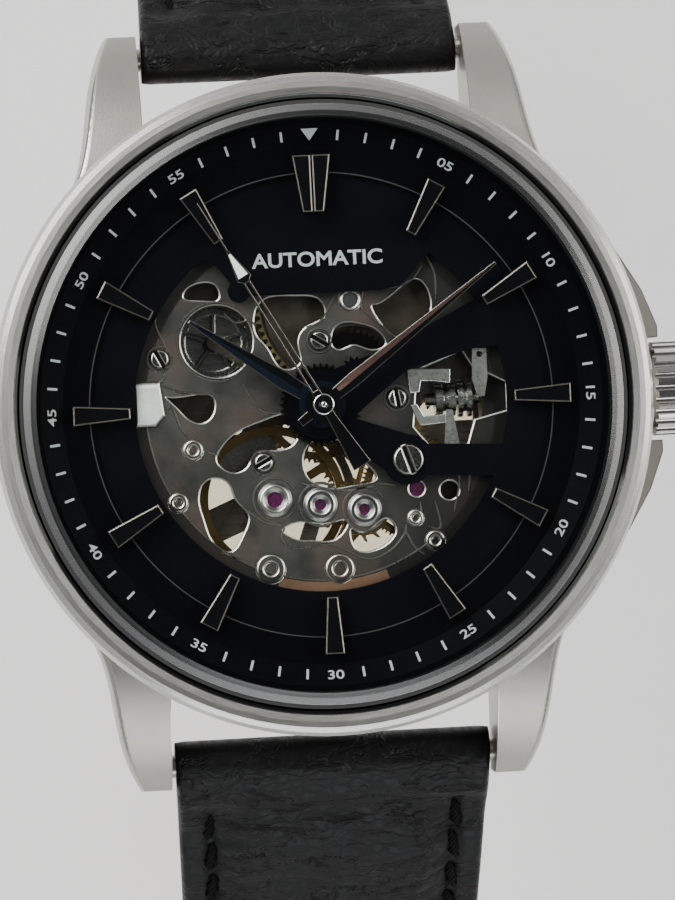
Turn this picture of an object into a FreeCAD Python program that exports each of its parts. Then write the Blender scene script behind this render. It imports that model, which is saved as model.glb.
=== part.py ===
import FreeCAD, Part
import math
import os
import re
import Sketcher

# Skeleton wristwatch. Millimetres. +Z leaves through the crystal, +Y is 12 o'clock,
# +X is the crown. The origin is the centre of the case back's outer face.

V = FreeCAD.Vector

# ---------------------------------------------------------------- driving sizes
SIZES = {
    # case
    "case_radius": 20.9, "case_foot_radius": 18.9, "case_low": 0.9, "case_high": 8.0,
    "case_bore": 14.4, "back_bore": 17.65, "back_seat": 2.2, "dial_bore": 16.75, "dial_seat": 7.3,
    "lug_inner": 10.5, "lug_tip_y": 24.35, "lug_bevel": 0.5,
    "guard_reach": 21.85, "guard_gap": 3.3, "guard_low": 1.9, "guard_high": 7.1,
    "bar_y": 22.9, "bar_z": 1.6, "bar_radius": 0.75, "bar_grip": 0.9,
    # bezel and crystal
    "bezel_radius": 21.0, "bezel_high": 10.7, "bezel_band": 19.6, "bezel_lip": 18.4,
    "crystal_radius": 19.0, "crystal_flat": 18.2, "crystal_low": 9.7, "crystal_high": 11.1,
    "gasket_radius": 19.25, "gasket_high": 10.5,
    # case back
    "back_flange": 18.6, "back_thread": 17.6, "back_top": 1.85, "back_opening": 12.6,
    "window_radius": 13.45, "window_low": 0.5, "window_high": 1.45,
    "back_gasket_inner": 16.4, "back_gasket_outer": 17.5,
    # dial side
    "dial_radius": 16.7, "dial_high": 7.7, "aperture_radius": 11.9,
    "flange_inner": 14.7, "flange_outer": 18.3, "flange_high": 9.6,
    "marker_inner": 12.24, "marker_outer": 15.85, "marker_low": 8.12, "marker_high": 8.9,
    "marker_width_in": 0.67, "marker_width_out": 1.23, "twelve_width_in": 1.33,
    "twelve_width_out": 2.4, "marker_angle": 30,
    "hour_low": 8.2, "hour_high": 8.45, "hour_length": 10.0, "hour_width": 1.15,
    "minute_low": 9.0, "minute_high": 9.2, "minute_length": 14.2, "minute_tail": 1.9,
    "minute_width": 0.95, "seconds_low": 9.35, "seconds_high": 9.47, "seconds_length": 15.0,
    "hour_angle": 304.5, "minute_angle": 53.4, "seconds_angle": 330.5,
    # movement plates
    "plate_radius": 12.95, "plate_low": 6.1, "plate_high": 6.9, "works_ceiling": 6.6,
    "holder_inner": 13.05, "holder_outer": 14.35, "holder_low": 2.9, "holder_high": 7.2,
    "bridge_low": 2.7, "bridge_high": 3.3, "pillar_radius": 0.8,
    "pallet_bridge_low": 5.02, "pallet_bridge_high": 5.35,
    # train positions
    "barrel_x": 2.2, "barrel_y": 6.6, "third_x": 3.23, "third_y": -2.52,
    "escape_x": 2.47, "escape_y": -6.8, "pallet_x": -0.34, "pallet_y": -6.37,
    "balance_x": -3.23, "balance_y": -5.91, "motion_x": 2.24, "motion_y": 2.26,
    "fourth_to_third": 4.1, "fourth_to_escape": 3.6,
    "crown_wheel_x": 8.3, "crown_wheel_y": 2.6, "reverser_x": -6.45, "reverser_y": 4.35,
    "middle_from_centre": 5.4, "middle_from_reverser": 5.6,
    # teeth
    "barrel_teeth": 72, "centre_pinion_teeth": 12, "centre_teeth": 64, "third_pinion_teeth": 8,
    "third_teeth": 60, "fourth_pinion_teeth": 8, "fourth_teeth": 72, "escape_pinion_teeth": 6,
    "escape_teeth": 15, "cannon_teeth": 12, "motion_teeth": 36, "motion_pinion_teeth": 10,
    "hour_teeth": 40, "ratchet_teeth": 48, "crown_wheel_teeth": 38, "rotor_pinion_teeth": 44,
    "middle_teeth": 64, "reverser_teeth": 48, "winding_teeth": 14,
    # train levels
    "third_low": 3.5, "third_high": 3.65, "low_pinion_low": 3.42, "low_pinion_high": 3.75,
    "centre_low": 3.95, "centre_high": 4.1, "third_pinion_low": 3.88, "third_pinion_high": 4.2,
    "barrel_low": 4.3, "barrel_high": 5.75, "barrel_teeth_low": 5.3, "barrel_teeth_high": 5.6,
    "drum_radius": 5.55, "drum_wall": 0.35, "centre_pinion_low": 5.2, "centre_pinion_high": 5.7,
    "fourth_low": 4.5, "fourth_high": 4.65, "escape_pinion_low": 4.4, "escape_pinion_high": 4.8,
    "escape_low": 5.6, "escape_high": 5.75, "escape_radius": 2.15,
    "fork_low": 5.55, "fork_high": 5.72, "rim_low": 4.3, "rim_high": 4.85,
    "rim_radius": 4.7, "rim_inner": 4.15, "arm_low": 4.5, "arm_high": 4.65,
    "spring_low": 3.75, "spring_high": 3.95, "spring_radius": 2.0,
    "motion_low": 6.3, "motion_high": 6.5, "hour_wheel_low": 7.1, "hour_wheel_high": 7.26,
    "ratchet_low": 2.35, "ratchet_high": 2.6, "rotor_low": 1.55, "rotor_plate_low": 2.0,
    "rotor_plate_high": 2.2, "rotor_high": 2.25, "rotor_radius": 12.4, "rotor_rim_inner": 10.6,
    "arbor_radius": 0.15, "pivot_radius": 0.09, "jewel_hole": 0.12, "jewel_radius": 0.5,
    # winding and setting
    "stem_z": 4.3, "stem_radius": 0.4, "crown_start": 21.45, "crown_length": 3.9,
    "crown_radius": 3.05, "crown_flutes": 24, "tube_radius": 1.25, "tube_bore": 0.95,
    "clutch_start": 7.55, "clutch_length": 1.3, "clutch_radius": 1.1,
    "winding_start": 9.0, "winding_length": 0.9, "winding_radius": 1.2,
    # strap
    "strap_width": 20.4, "strap_end_width": 16.4, "strap_thick": 3.2, "strap_end_thick": 2.3,
    "bend_radius": 75.0, "lead_angle": 32.0, "upper_length": 70.0, "lower_length": 110.0,
    "strap_hole": 0.8, "buckle_wire": 1.0, "buckle_length": 9.5,
    "keeper_width": 4.5, "keeper_wall": 1.1, "keeper_room": 5.4,
}

doc = FreeCAD.newDocument("SkeletonWatch")
sheet = doc.addObject("Spreadsheet::Sheet", "Sizes")
for row, (alias, number) in enumerate(SIZES.items(), 1):
    sheet.set(f"A{row}", alias)
    sheet.set(f"B{row}", str(number))
    sheet.setAlias(f"B{row}", alias)
doc.recompute()

NODES = []
TURN = 2 * math.pi


# ---------------------------------------------------------------- helpers
def bound(text):
    """A formula of sheet names as an expression that objects can be bound to."""
    return re.sub(r"[a-z]+(?:_[a-z]+)+", lambda name: "Sizes." + name.group(0), str(text))


def size(text):
    """The value of a formula of sheet names."""
    return float(sheet.evalExpression(bound(text)))


def polar(radius, degrees):
    """A point at a radius, at an angle clockwise from 12 o'clock."""
    return V(radius * math.sin(math.radians(degrees)), radius * math.cos(math.radians(degrees)), 0)


def meet(first, reach_first, second, reach_second):
    """The point at two given distances from two centres, to the right of the line between them."""
    line = second - first
    along = (reach_first ** 2 - reach_second ** 2 + line.Length ** 2) / (2 * line.Length)
    across = math.sqrt(reach_first ** 2 - along ** 2)
    unit = V(line).normalize()
    return first + unit * along + V(-unit.y, unit.x, 0) * across


def origin_part(body, role):
    return [part for part in body.Origin.OriginFeatures if part.Role == role][0]


def new_body(label):
    body = doc.addObject("PartDesign::Body", label)
    body.Label = label
    return body


def new_sketch(body, name, plane):
    sketch = body.newObject("Sketcher::SketchObject", name)
    sketch.AttachmentSupport = [(origin_part(body, plane), "")]
    sketch.MapMode = "FlatFace"
    return sketch


def stand(obj, x=0, y=0, z=0):
    """Binds an object's place to formulas of the sheet."""
    for axis, text in zip("xyz", (x, y, z)):
        obj.setExpression("Placement.Base." + axis, bound(text))
    return obj


def keep(obj, label):
    obj.Label = label
    NODES.append(obj)
    return obj


def draw_loop(sketch, loop):
    """Adds one closed loop: a polygon, a smooth closed curve, or a circle (x, y, radius)."""
    kind, data = loop
    if kind == "circle":
        sketch.addGeometry(Part.Circle(V(data[0], data[1], 0), V(0, 0, 1), data[2]), False)
        return
    points = [V(point[0], point[1], 0) for point in data]
    if kind == "curve":
        curve = Part.BSplineCurve()
        curve.interpolate(Points=points, PeriodicFlag=True)
        sketch.addGeometry(curve, False)
        return
    for start, end in zip(points, points[1:] + points[:1]):
        sketch.addGeometry(Part.LineSegment(start, end), False)


def plate(label, loops, low, high, x=0, y=0):
    """A flat piece between two heights, cut to the given loops."""
    body = new_body(label)
    sketch = new_sketch(body, label + "_outline", "XY_Plane")
    for loop in loops:
        draw_loop(sketch, loop)
    pad = body.newObject("PartDesign::Pad", label + "_pad")
    pad.Profile = sketch
    pad.setExpression("Length", bound(f"({high}) - ({low})"))
    stand(body, x, y, low)
    doc.recompute()
    return body


def turned(label, profile, x=0, y=0, z=0):
    """A piece turned about its own Z axis: the profile is a list of (radius, height) formulas."""
    body = new_body(label)
    sketch = new_sketch(body, label + "_profile", "XZ_Plane")
    corners = [V(size(radius), size(height), 0) for radius, height in profile]
    for start, end in zip(corners, corners[1:] + corners[:1]):
        sketch.addGeometry(Part.LineSegment(start, end), False)
    count = len(corners)
    for index, (radius, height) in enumerate(profile):
        sketch.addConstraint(Sketcher.Constraint("Coincident", index - 1 if index else count - 1, 2, index, 1))
        for kind, text, number, axis in (("DistanceX", radius, corners[index].x, -2),
                                         ("DistanceY", height, corners[index].y, -1)):
            if abs(number) < 1e-9:
                sketch.addConstraint(Sketcher.Constraint("PointOnObject", index, 1, axis))
                continue
            place = sketch.addConstraint(Sketcher.Constraint(kind, -1, 1, index, 1, number))
            sketch.setExpression(f"Constraints[{place}]", bound(text))
    turn = body.newObject("PartDesign::Revolution", label + "_turn")
    turn.Profile = sketch
    turn.ReferenceAxis = (sketch, ["V_Axis"])
    turn.Angle = 360
    stand(body, x, y, z)
    doc.recompute()
    return body


def rod(label, radius, low, high, x=0, y=0, hole=None):
    """A straight round piece, with a bore if a hole radius is given."""
    profile = [(hole or 0, low), (radius, low), (radius, high), (hole or 0, high)]
    return turned(label, profile, x, y)


def fuse(label, *shapes):
    joined = doc.addObject("Part::MultiFuse", label)
    joined.Shapes = list(shapes)
    joined.Refine = True
    doc.recompute()
    return joined


def cut(label, base, *tools):
    result = doc.addObject("Part::Cut", label)
    result.Base = base
    result.Tool = tools[0] if len(tools) == 1 else fuse(label + "_tools", *tools)
    result.Refine = True
    doc.recompute()
    return result


def group(label, *shapes):
    """Several separate solids in one node."""
    compound = doc.addObject("Part::Compound", label)
    compound.Links = list(shapes)
    doc.recompute()
    return compound


def mesh_phase(direction, teeth, phase, other_teeth):
    """Where the other gear needs a tooth, so that its gap meets this gear's tooth.

    direction is the angle from this gear's centre to the other's, and all angles are radians."""
    step = (direction - phase) * teeth / TURN
    return direction + math.pi - (0.5 - step) * TURN / other_teeth


def heading(start, end):
    return math.atan2(end.y - start.y, end.x - start.x)


def gear(label, teeth, module, low, high, x, y, phase, hole, spokes=0, hub=0.7):
    """A wheel with straight-sided teeth, and with spokes if a number is given."""
    number = size(teeth)
    root = module * number / 2 - 1.1 * module
    tip = module * number / 2 + 0.8 * module
    pitch_step = math.pi * module
    body = new_body(label)
    disc = new_sketch(body, label + "_disc", "XY_Plane")
    draw_loop(disc, ("circle", (0, 0, root)))
    draw_loop(disc, ("circle", (0, 0, size(hole))))
    pad = body.newObject("PartDesign::Pad", label + "_blank")
    pad.Profile = disc
    tooth = new_sketch(body, label + "_tooth", "XY_Plane")
    half_root = 0.30 * pitch_step
    half_tip = 0.11 * pitch_step
    inside = root * 0.985 - 0.02
    draw_loop(tooth, ("polygon", [(inside, -half_root), (root, -half_root), (tip, -half_tip),
                                  (tip, half_tip), (root, half_root), (inside, half_root)]))
    tooth_pad = body.newObject("PartDesign::Pad", label + "_tooth_pad")
    tooth_pad.Profile = tooth
    for feature in (pad, tooth_pad):
        feature.setExpression("Length", bound(f"({high}) - ({low})"))
    doc.recompute()
    ring = body.newObject("PartDesign::PolarPattern", label + "_teeth")
    ring.Originals = [tooth_pad]
    ring.Axis = (origin_part(body, "Z_Axis"), [""])
    ring.Angle = 360
    ring.Refine = False
    ring.setExpression("Occurrences", bound(teeth))
    body.Tip = ring
    doc.recompute()
    if spokes:
        window = new_sketch(body, label + "_window", "XY_Plane")
        outer = root - 0.5
        half = math.pi / spokes
        gap_in = math.asin(0.17 / hub)
        gap_out = math.asin(0.17 / outer)
        loop = [V(radius * math.cos(angle), radius * math.sin(angle), 0)
                for radius, angle in ((hub, gap_in - half), (outer, gap_out - half),
                                      (outer, half - gap_out), (hub, half - gap_in))]
        window.addGeometry(Part.LineSegment(loop[0], loop[1]), False)
        window.addGeometry(Part.Arc(loop[1], V(outer, 0, 0), loop[2]), False)
        window.addGeometry(Part.LineSegment(loop[2], loop[3]), False)
        window.addGeometry(Part.Arc(loop[3], V(hub, 0, 0), loop[0]), False)
        pocket = body.newObject("PartDesign::Pocket", label + "_pocket")
        pocket.Profile = window
        pocket.Type = 1
        pocket.Midplane = True
        doc.recompute()
        arms = body.newObject("PartDesign::PolarPattern", label + "_arms")
        arms.Originals = [pocket]
        arms.Axis = (origin_part(body, "Z_Axis"), [""])
        arms.Angle = 360
        arms.Occurrences = spokes
        body.Tip = arms
    stand(body, x, y, low)
    body.setExpression("Placement.Rotation.Angle", str(math.degrees(phase)))
    doc.recompute()
    return body


def module_for(distance, teeth_a, teeth_b):
    return 2 * distance / (size(teeth_a) + size(teeth_b))


def along_x(obj, start, y=0, z="stem_z"):
    """Lays a piece that was turned about Z along +X, starting at the given X."""
    obj.Placement = FreeCAD.Placement(V(), FreeCAD.Rotation(V(0, 1, 0), 90))
    return stand(obj, start, y, z)


def stadium(start, end, radius):
    """An outline round two points, with round ends, as a polygon of short steps."""
    side = heading(start, end)
    steps = [side + math.pi / 2 + math.pi * n / 8 for n in range(9)]
    back = [(start.x + radius * math.cos(a), start.y + radius * math.sin(a)) for a in steps]
    front = [(end.x - radius * math.cos(a), end.y - radius * math.sin(a)) for a in steps]
    return ("polygon", back + front)


# ---------------------------------------------------------------- train layout
CENTRE = V(0, 0, 0)
BARREL = V(size("barrel_x"), size("barrel_y"), 0)
THIRD = V(size("third_x"), size("third_y"), 0)
ESCAPE = V(size("escape_x"), size("escape_y"), 0)
PALLET = V(size("pallet_x"), size("pallet_y"), 0)
BALANCE = V(size("balance_x"), size("balance_y"), 0)
MOTION = V(size("motion_x"), size("motion_y"), 0)
FOURTH = meet(THIRD, size("fourth_to_third"), ESCAPE, size("fourth_to_escape"))
CROWN_WHEEL = V(size("crown_wheel_x"), size("crown_wheel_y"), 0)
REVERSER = V(size("reverser_x"), size("reverser_y"), 0)
MIDDLE = meet(REVERSER, size("middle_from_reverser"), CENTRE, size("middle_from_centre"))
if MIDDLE.y > 0:
    MIDDLE = meet(CENTRE, size("middle_from_centre"), REVERSER, size("middle_from_reverser"))


# ---------------------------------------------------------------- case
def make_lug(name, side_x, side_y):
    """One lug: its plan outline, cut to the arched side view, with the outer top edge bevelled."""
    tip = size("lug_tip_y")
    inner = size("lug_inner")
    outline = new_body(name + "_plan")
    plan = new_sketch(outline, name + "_plan_view", "XY_Plane")
    outer_edge = Part.BSplineCurve()
    outer_edge.interpolate([V(12.5, tip, 0), V(13.4, 22.3, 0), V(14.25, 17.6, 0), V(15.9, 13.3, 0)])
    plan.addGeometry(outer_edge, False)
    corners = [V(15.9, 13.3, 0), V(15.9, 12.0, 0), V(inner, 12.0, 0), V(inner, tip, 0), V(12.5, tip, 0)]
    for start, end in zip(corners, corners[1:]):
        plan.addGeometry(Part.LineSegment(start, end), False)
    plan_pad = outline.newObject("PartDesign::Pad", name + "_plan_pad")
    plan_pad.Profile = plan
    plan_pad.setExpression("Length", "Sizes.case_high + 2")
    stand(outline, 0, 0, -2)
    doc.recompute()
    side = new_body(name + "_side")
    sketch = new_sketch(side, name + "_side_view", "YZ_Plane")
    top = Part.Arc(V(10, 8, 0), V(19.0, 6.75, 0), V(tip + 0.2, 2.5, 0))
    under = Part.Arc(V(tip + 0.2, -0.35, 0), V(20.0, 0.55, 0), V(15.0, 1.1, 0))
    sketch.addGeometry(top, False)
    sketch.addGeometry(Part.LineSegment(V(tip + 0.2, 2.5, 0), V(tip + 0.2, -0.35, 0)), False)
    sketch.addGeometry(under, False)
    sketch.addGeometry(Part.LineSegment(V(15.0, 1.1, 0), V(10, 2.2, 0)), False)
    sketch.addGeometry(Part.LineSegment(V(10, 2.2, 0), V(10, 8, 0)), False)
    pad = side.newObject("PartDesign::Pad", name + "_side_pad")
    pad.Profile = sketch
    pad.Length = 20
    doc.recompute()
    blank = doc.addObject("Part::Common", name + "_blank")
    blank.Base = outline
    blank.Tool = side
    doc.recompute()
    bevel = doc.addObject("Part::Fillet", name + "_bevel")
    bevel.Base = blank
    depth = size("lug_bevel")
    faces = [face for face in blank.Shape.Faces if face.CenterOfMass.z > 3 and face.normalAt(0, 0).z > 0.4]
    rims = [edge.hashCode() for face in faces for edge in face.Edges]
    edges = []
    for index, edge in enumerate(blank.Shape.Edges, 1):
        middle = edge.valueAt((edge.FirstParameter + edge.LastParameter) / 2)
        if edge.hashCode() in rims and middle.x > 12.2 and middle.y > 12.1:
            edges.append((index, depth, depth))
    bevel.Edges = edges
    doc.recompute()
    lug = bevel
    if side_x < 0:
        lug = mirror(lug, name + "_left", V(1, 0, 0))
    if side_y < 0:
        lug = mirror(lug, name + "_below", V(0, 1, 0))
    return lug


def mirror(source, name, normal):
    flipped = doc.addObject("Part::Mirroring", name)
    flipped.Source = source
    flipped.Normal = normal
    doc.recompute()
    return flipped


def make_mid_case():
    ring = turned("case_ring", [
        ("back_bore", "case_low"), ("case_foot_radius", "case_low"), ("case_radius - 0.5", 2.8),
        ("case_radius", 4.2), ("case_radius", "case_high"), ("flange_outer + 0.05", "case_high"),
        ("flange_outer + 0.05", "dial_high"), ("dial_bore", "dial_high"), ("dial_bore", "dial_seat"), ("case_bore", "dial_seat"), ("case_bore", "back_seat"),
        ("back_bore", "back_seat")])
    lugs = [make_lug(f"lug_{x}_{y}".replace("-1", "minus").replace("1", "plus"), x, y)
            for x in (1, -1) for y in (1, -1)]
    reach = size("guard_reach")
    gap = size("guard_gap")
    guards = []
    for number, sign in enumerate((1, -1)):
        corners = [(16.5, sign * gap), (reach, sign * gap), (reach, sign * (gap + 0.75)),
                   (20.95, sign * 6.4), (19.4, sign * 9.0), (16.0, sign * 11.6)]
        guards.append(plate(f"guard_{number}", [("polygon", corners)], "guard_low", "guard_high"))
    room = rod("case_room", "case_bore", "back_seat", "dial_seat")
    back_room = rod("case_back_room", "back_bore", "case_low - 1", "back_seat")
    dial_room = rod("case_dial_room", "dial_bore", "dial_seat", "case_high + 1")
    flange_room = rod("case_flange_room", "flange_outer + 0.05", "dial_high", "case_high + 1")
    stem_way = along_x(rod("case_stem_way", "tube_radius", 0, 10), "case_bore - 1")
    bars = []
    for number, side in enumerate(("bar_y", "-bar_y")):
        bar = along_x(rod(f"bar_way_{number}", "bar_radius", 0, "2 * lug_inner + 2 * bar_grip"),
                      "-lug_inner - bar_grip", side, "bar_z")
        bars.append(bar)
    solid = fuse("case_solid", ring, *lugs, *guards)
    keep(cut("mid_case", solid, room, back_room, dial_room, flange_room, stem_way, *bars), "mid_case")


def make_case_fittings():
    keep(turned("bezel", [
        ("bezel_lip", "case_high"), ("bezel_radius - 0.35", "case_high"),
        ("bezel_radius", "case_high + 0.35"), ("bezel_radius", "bezel_high - 0.9"),
        ("bezel_radius - 0.25", "bezel_high - 0.3"), ("bezel_radius - 0.6", "bezel_high - 0.05"),
        ("bezel_band + 0.45", "bezel_high"), ("bezel_band", "bezel_high - 0.08"),
        ("gasket_radius", "bezel_high - 0.35"), ("gasket_radius", "crystal_low"),
        ("bezel_lip", "crystal_low")]), "bezel")
    keep(turned("crystal", [
        (0, "crystal_low"), ("crystal_radius", "crystal_low"), ("crystal_radius", "gasket_high + 0.1"),
        ("crystal_flat", "crystal_high"), (0, "crystal_high")]), "crystal")
    keep(rod("crystal_gasket", "gasket_radius", "crystal_low", "gasket_high",
             hole="crystal_radius"), "crystal_gasket")
    ring = turned("back_ring", [
        ("back_opening", 0), ("back_flange - 0.4", 0), ("back_flange", 0.4), ("back_flange", "case_low"),
        ("back_thread", "case_low"), ("back_thread", "back_top"), ("window_radius", "back_top"),
        ("window_radius", "window_low"), ("back_opening", "window_low")])
    notches = []
    for number in range(6):
        place = polar(size("back_flange") - 0.9, 60 * number + 30)
        notches.append(plate(f"back_notch_{number}", [("circle", (place.x, place.y, 0.75))], "-0.1", 0.4))
    keep(cut("case_back_ring", ring, *notches), "case_back_ring")
    keep(rod("case_back_window", "window_radius", "window_low", "window_high"), "case_back_window")
    keep(rod("case_back_gasket", "back_gasket_outer", "back_top", "back_seat",
             hole="back_gasket_inner"), "case_back_gasket")
    holder = rod("holder_ring", "holder_outer", "holder_low", "holder_high", hole="holder_inner")
    way = along_x(rod("holder_way", "tube_bore", 0, 4), "holder_inner - 1")
    keep(cut("movement_holder", holder, way), "movement_holder")
    tube = rod("tube", "tube_radius", 0, "crown_start - case_bore + 0.5", hole="tube_bore")
    keep(along_x(tube, "case_bore"), "crown_tube")
    bars = []
    for number, side in enumerate(("bar_y", "-bar_y")):
        profile = [(0, 0), (0.5, 0), (0.5, "bar_grip"), ("bar_radius - 0.02", "bar_grip"),
                   ("bar_radius - 0.02", "bar_grip + 2 * lug_inner"), (0.5, "bar_grip + 2 * lug_inner"),
                   (0.5, "2 * lug_inner + 2 * bar_grip"), (0, "2 * lug_inner + 2 * bar_grip")]
        bars.append(along_x(turned(f"spring_bar_{number}", profile), "-lug_inner - bar_grip", side, "bar_z"))
    keep(group("spring_bars", *bars), "spring_bars")


# ---------------------------------------------------------------- dial and hands
def make_dial():
    ring = plate("dial_ring", [("circle", (0, 0, size("dial_radius"))),
                               ("circle", (0, 0, size("aperture_radius")))], "dial_seat", "dial_high")
    crest = [(-7.0, 9.45), (-6.2, 9.06), (-5.35, 7.9), (-4.9, 6.75), (-4.2, 7.1), (4.0, 7.1),
             (5.4, 7.35), (6.45, 8.4), (7.3, 9.4), (8.2, 9.0), (9.0, 12.2), (-8.0, 12.2)]
    top = plate("dial_top", [("polygon", crest)], "dial_seat", "dial_high")
    lobe = plate("dial_lobe", [("circle", (-4.9, 7.45, 0.72))], "dial_seat", "dial_high")
    spoke = plate("dial_spoke", [("polygon", [(0.5, 2.1), (4.4, 3.4), (10.2, 6.3), (12.4, 6.3), (12.4, 3.3),
                                              (9.6, 3.1), (5.5, 1.9), (2.0, -0.9)])],
                  "dial_seat", "dial_high")
    centre = plate("dial_centre", [("circle", (0, 0, 2.2))], "dial_seat", "dial_high")
    arm = plate("dial_arm", [stadium(V(5.36, -3.76, 0), V(12.6, -4.1, 0), 1.0)], "dial_seat", "dial_high")
    boss = plate("dial_boss", [("circle", (5.36, -3.76, 1.6))], "dial_seat", "dial_high")
    web = plate("dial_web", [("polygon", [(0.6, -1.9), (1.9, -0.9), (5.6, -2.2), (4.2, -4.6)])],
                "dial_seat", "dial_high")
    solid = fuse("dial_solid", ring, top, lobe, spoke, centre, arm, boss, web)
    hand_hole = rod("dial_hand_hole", 1.05, "dial_seat - 1", "dial_high + 1")
    outside = rod("dial_outside", "dial_radius + 5", "dial_seat - 1", "dial_high + 1", hole="dial_radius")
    screw_hole = rod("dial_screw_hole", 0.35, "dial_seat - 1", "dial_high + 1", 5.36, -3.76)
    keep(cut("dial", solid, hand_hole, screw_hole, outside), "dial")
    keep(turned("flange_ring", [
        ("flange_inner", "dial_high"), ("flange_outer", "dial_high"), ("flange_outer", "flange_high"),
        ("flange_outer - 0.1", "flange_high"), ("flange_outer - 0.4", "dial_high + 0.95"),
        ("flange_inner + 1.8", "dial_high + 0.42"), ("flange_inner", "dial_high + 0.4")]), "flange_ring")


def make_markers():
    """Eleven tapered hour markers and the double one at 12, each on a foot that stands on the dial."""
    inner = size("marker_inner")
    outer = size("marker_outer")
    foot_in = inner + 0.15
    foot_out = size("flange_inner") - 0.1
    markers = []
    for hour in range(12):
        double = hour == 0
        half_in = size("twelve_width_in" if double else "marker_width_in") / 2
        half_out = size("twelve_width_out" if double else "marker_width_out") / 2
        bar = plate(f"marker_bar_{hour}", [("polygon", [
            (-half_in, inner), (half_in, inner), (half_out, outer), (-half_out, outer)])],
            "marker_low", "marker_high")
        foot = plate(f"marker_foot_{hour}", [("polygon", [
            (-half_in * 0.8, foot_in), (half_in * 0.8, foot_in), (half_in * 0.8, foot_out),
            (-half_in * 0.8, foot_out)])], "dial_high", "marker_low")
        parts = [bar, foot]
        marker = fuse(f"marker_{hour}", *parts)
        if double:
            groove = plate("marker_groove", [("polygon", [(-0.06, inner - 1), (0.06, inner - 1),
                                                          (0.06, outer + 1), (-0.06, outer + 1)])],
                           "marker_high - 0.2", "marker_high + 1")
            marker = cut("marker_twelve", marker, groove)
        marker.Placement = FreeCAD.Placement(V(), FreeCAD.Rotation(V(0, 0, 1), 0))
        marker.setExpression("Placement.Rotation.Angle", bound(f"-{hour} * marker_angle"))
        markers.append(marker)
    keep(group("hour_markers", *markers), "hour_markers")


def clockwise(obj, angle):
    """Turns a hand that was drawn along +Y to its clock angle."""
    obj.Placement = FreeCAD.Placement(V(), FreeCAD.Rotation(V(0, 0, 1), 0))
    obj.setExpression("Placement.Rotation.Angle", bound("-" + angle))
    return obj


def make_hands():
    half = size("hour_width") / 2
    length = size("hour_length")
    blade = plate("hour_blade", [("polygon", [
        (-half * 0.8, 0.6), (-half, 3.0), (-0.12, length), (0.12, length), (half, 3.0), (half * 0.8, 0.6)])],
        "hour_low", "hour_high")
    hub = rod("hour_hub", 1.5, "hour_low", "hour_high")
    bore = rod("hour_bore", 0.95, "hour_low - 1", "hour_high + 1")
    keep(clockwise(cut("hour_hand", fuse("hour_solid", blade, hub), bore), "hour_angle"), "hour_hand")

    half = size("minute_width") / 2
    length = size("minute_length")
    tail = size("minute_tail")
    blade = plate("minute_blade", [("polygon", [
        (-half * 0.55, -tail), (-half, 2.5), (-0.1, length), (0.1, length), (half, 2.5),
        (half * 0.55, -tail)])], "minute_low", "minute_high")
    hub = rod("minute_hub", 1.15, "minute_low", "minute_high")
    bore = rod("minute_bore", 0.7, "minute_low - 1", "minute_high + 1")
    keep(clockwise(cut("minute_hand", fuse("minute_solid", blade, hub), bore), "minute_angle"),
         "minute_hand")

    length = size("seconds_length")
    outline = [(-0.62, -4.6), (0.62, -4.6), (0.3, -1.0), (0.28, 0.5), (0.24, 9.2), (0.5, 9.4), (0.06, 11.5),
               (0.04, length), (-0.04, length), (-0.06, 11.5), (-0.5, 9.4), (-0.24, 9.2), (-0.28, 0.5),
               (-0.3, -1.0)]
    slot = [(-0.15, 1.0), (0.15, 1.0), (0.12, 9.1), (-0.12, 9.1)]
    blade = plate("seconds_blade", [("polygon", outline), ("polygon", slot)],
                  "seconds_low", "seconds_high")
    hub = rod("seconds_hub", 0.65, "seconds_low", "seconds_high + 0.12")
    bore = rod("seconds_bore", 0.16, "seconds_low - 1", "seconds_high + 1")
    keep(clockwise(cut("seconds_hand", fuse("seconds_solid", blade, hub), bore), "seconds_angle"),
         "seconds_hand")


# ---------------------------------------------------------------- plates and bridges
BEARINGS = (("third", THIRD), ("fourth", FOURTH), ("escape", ESCAPE), ("pallet", PALLET),
            ("balance", BALANCE))
PILLARS = (polar(12.0, 62), polar(12.0, 300), polar(12.0, 265), polar(12.0, 146), V(0.7, -10.5, 0))
PLATE_SCREWS = (V(0.1, 4.1, 0), V(4.9, 0.2, 0), V(-3.84, -3.5, 0), V(-10.15, 3.4, 0), V(5.36, -3.76, 0))
SLOT_TURNS = (147, 98, 28, 117, 108)
PALLET_POSTS = (V(-1.85, -3.96, 0), V(-1.57, -9.72, 0))


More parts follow.
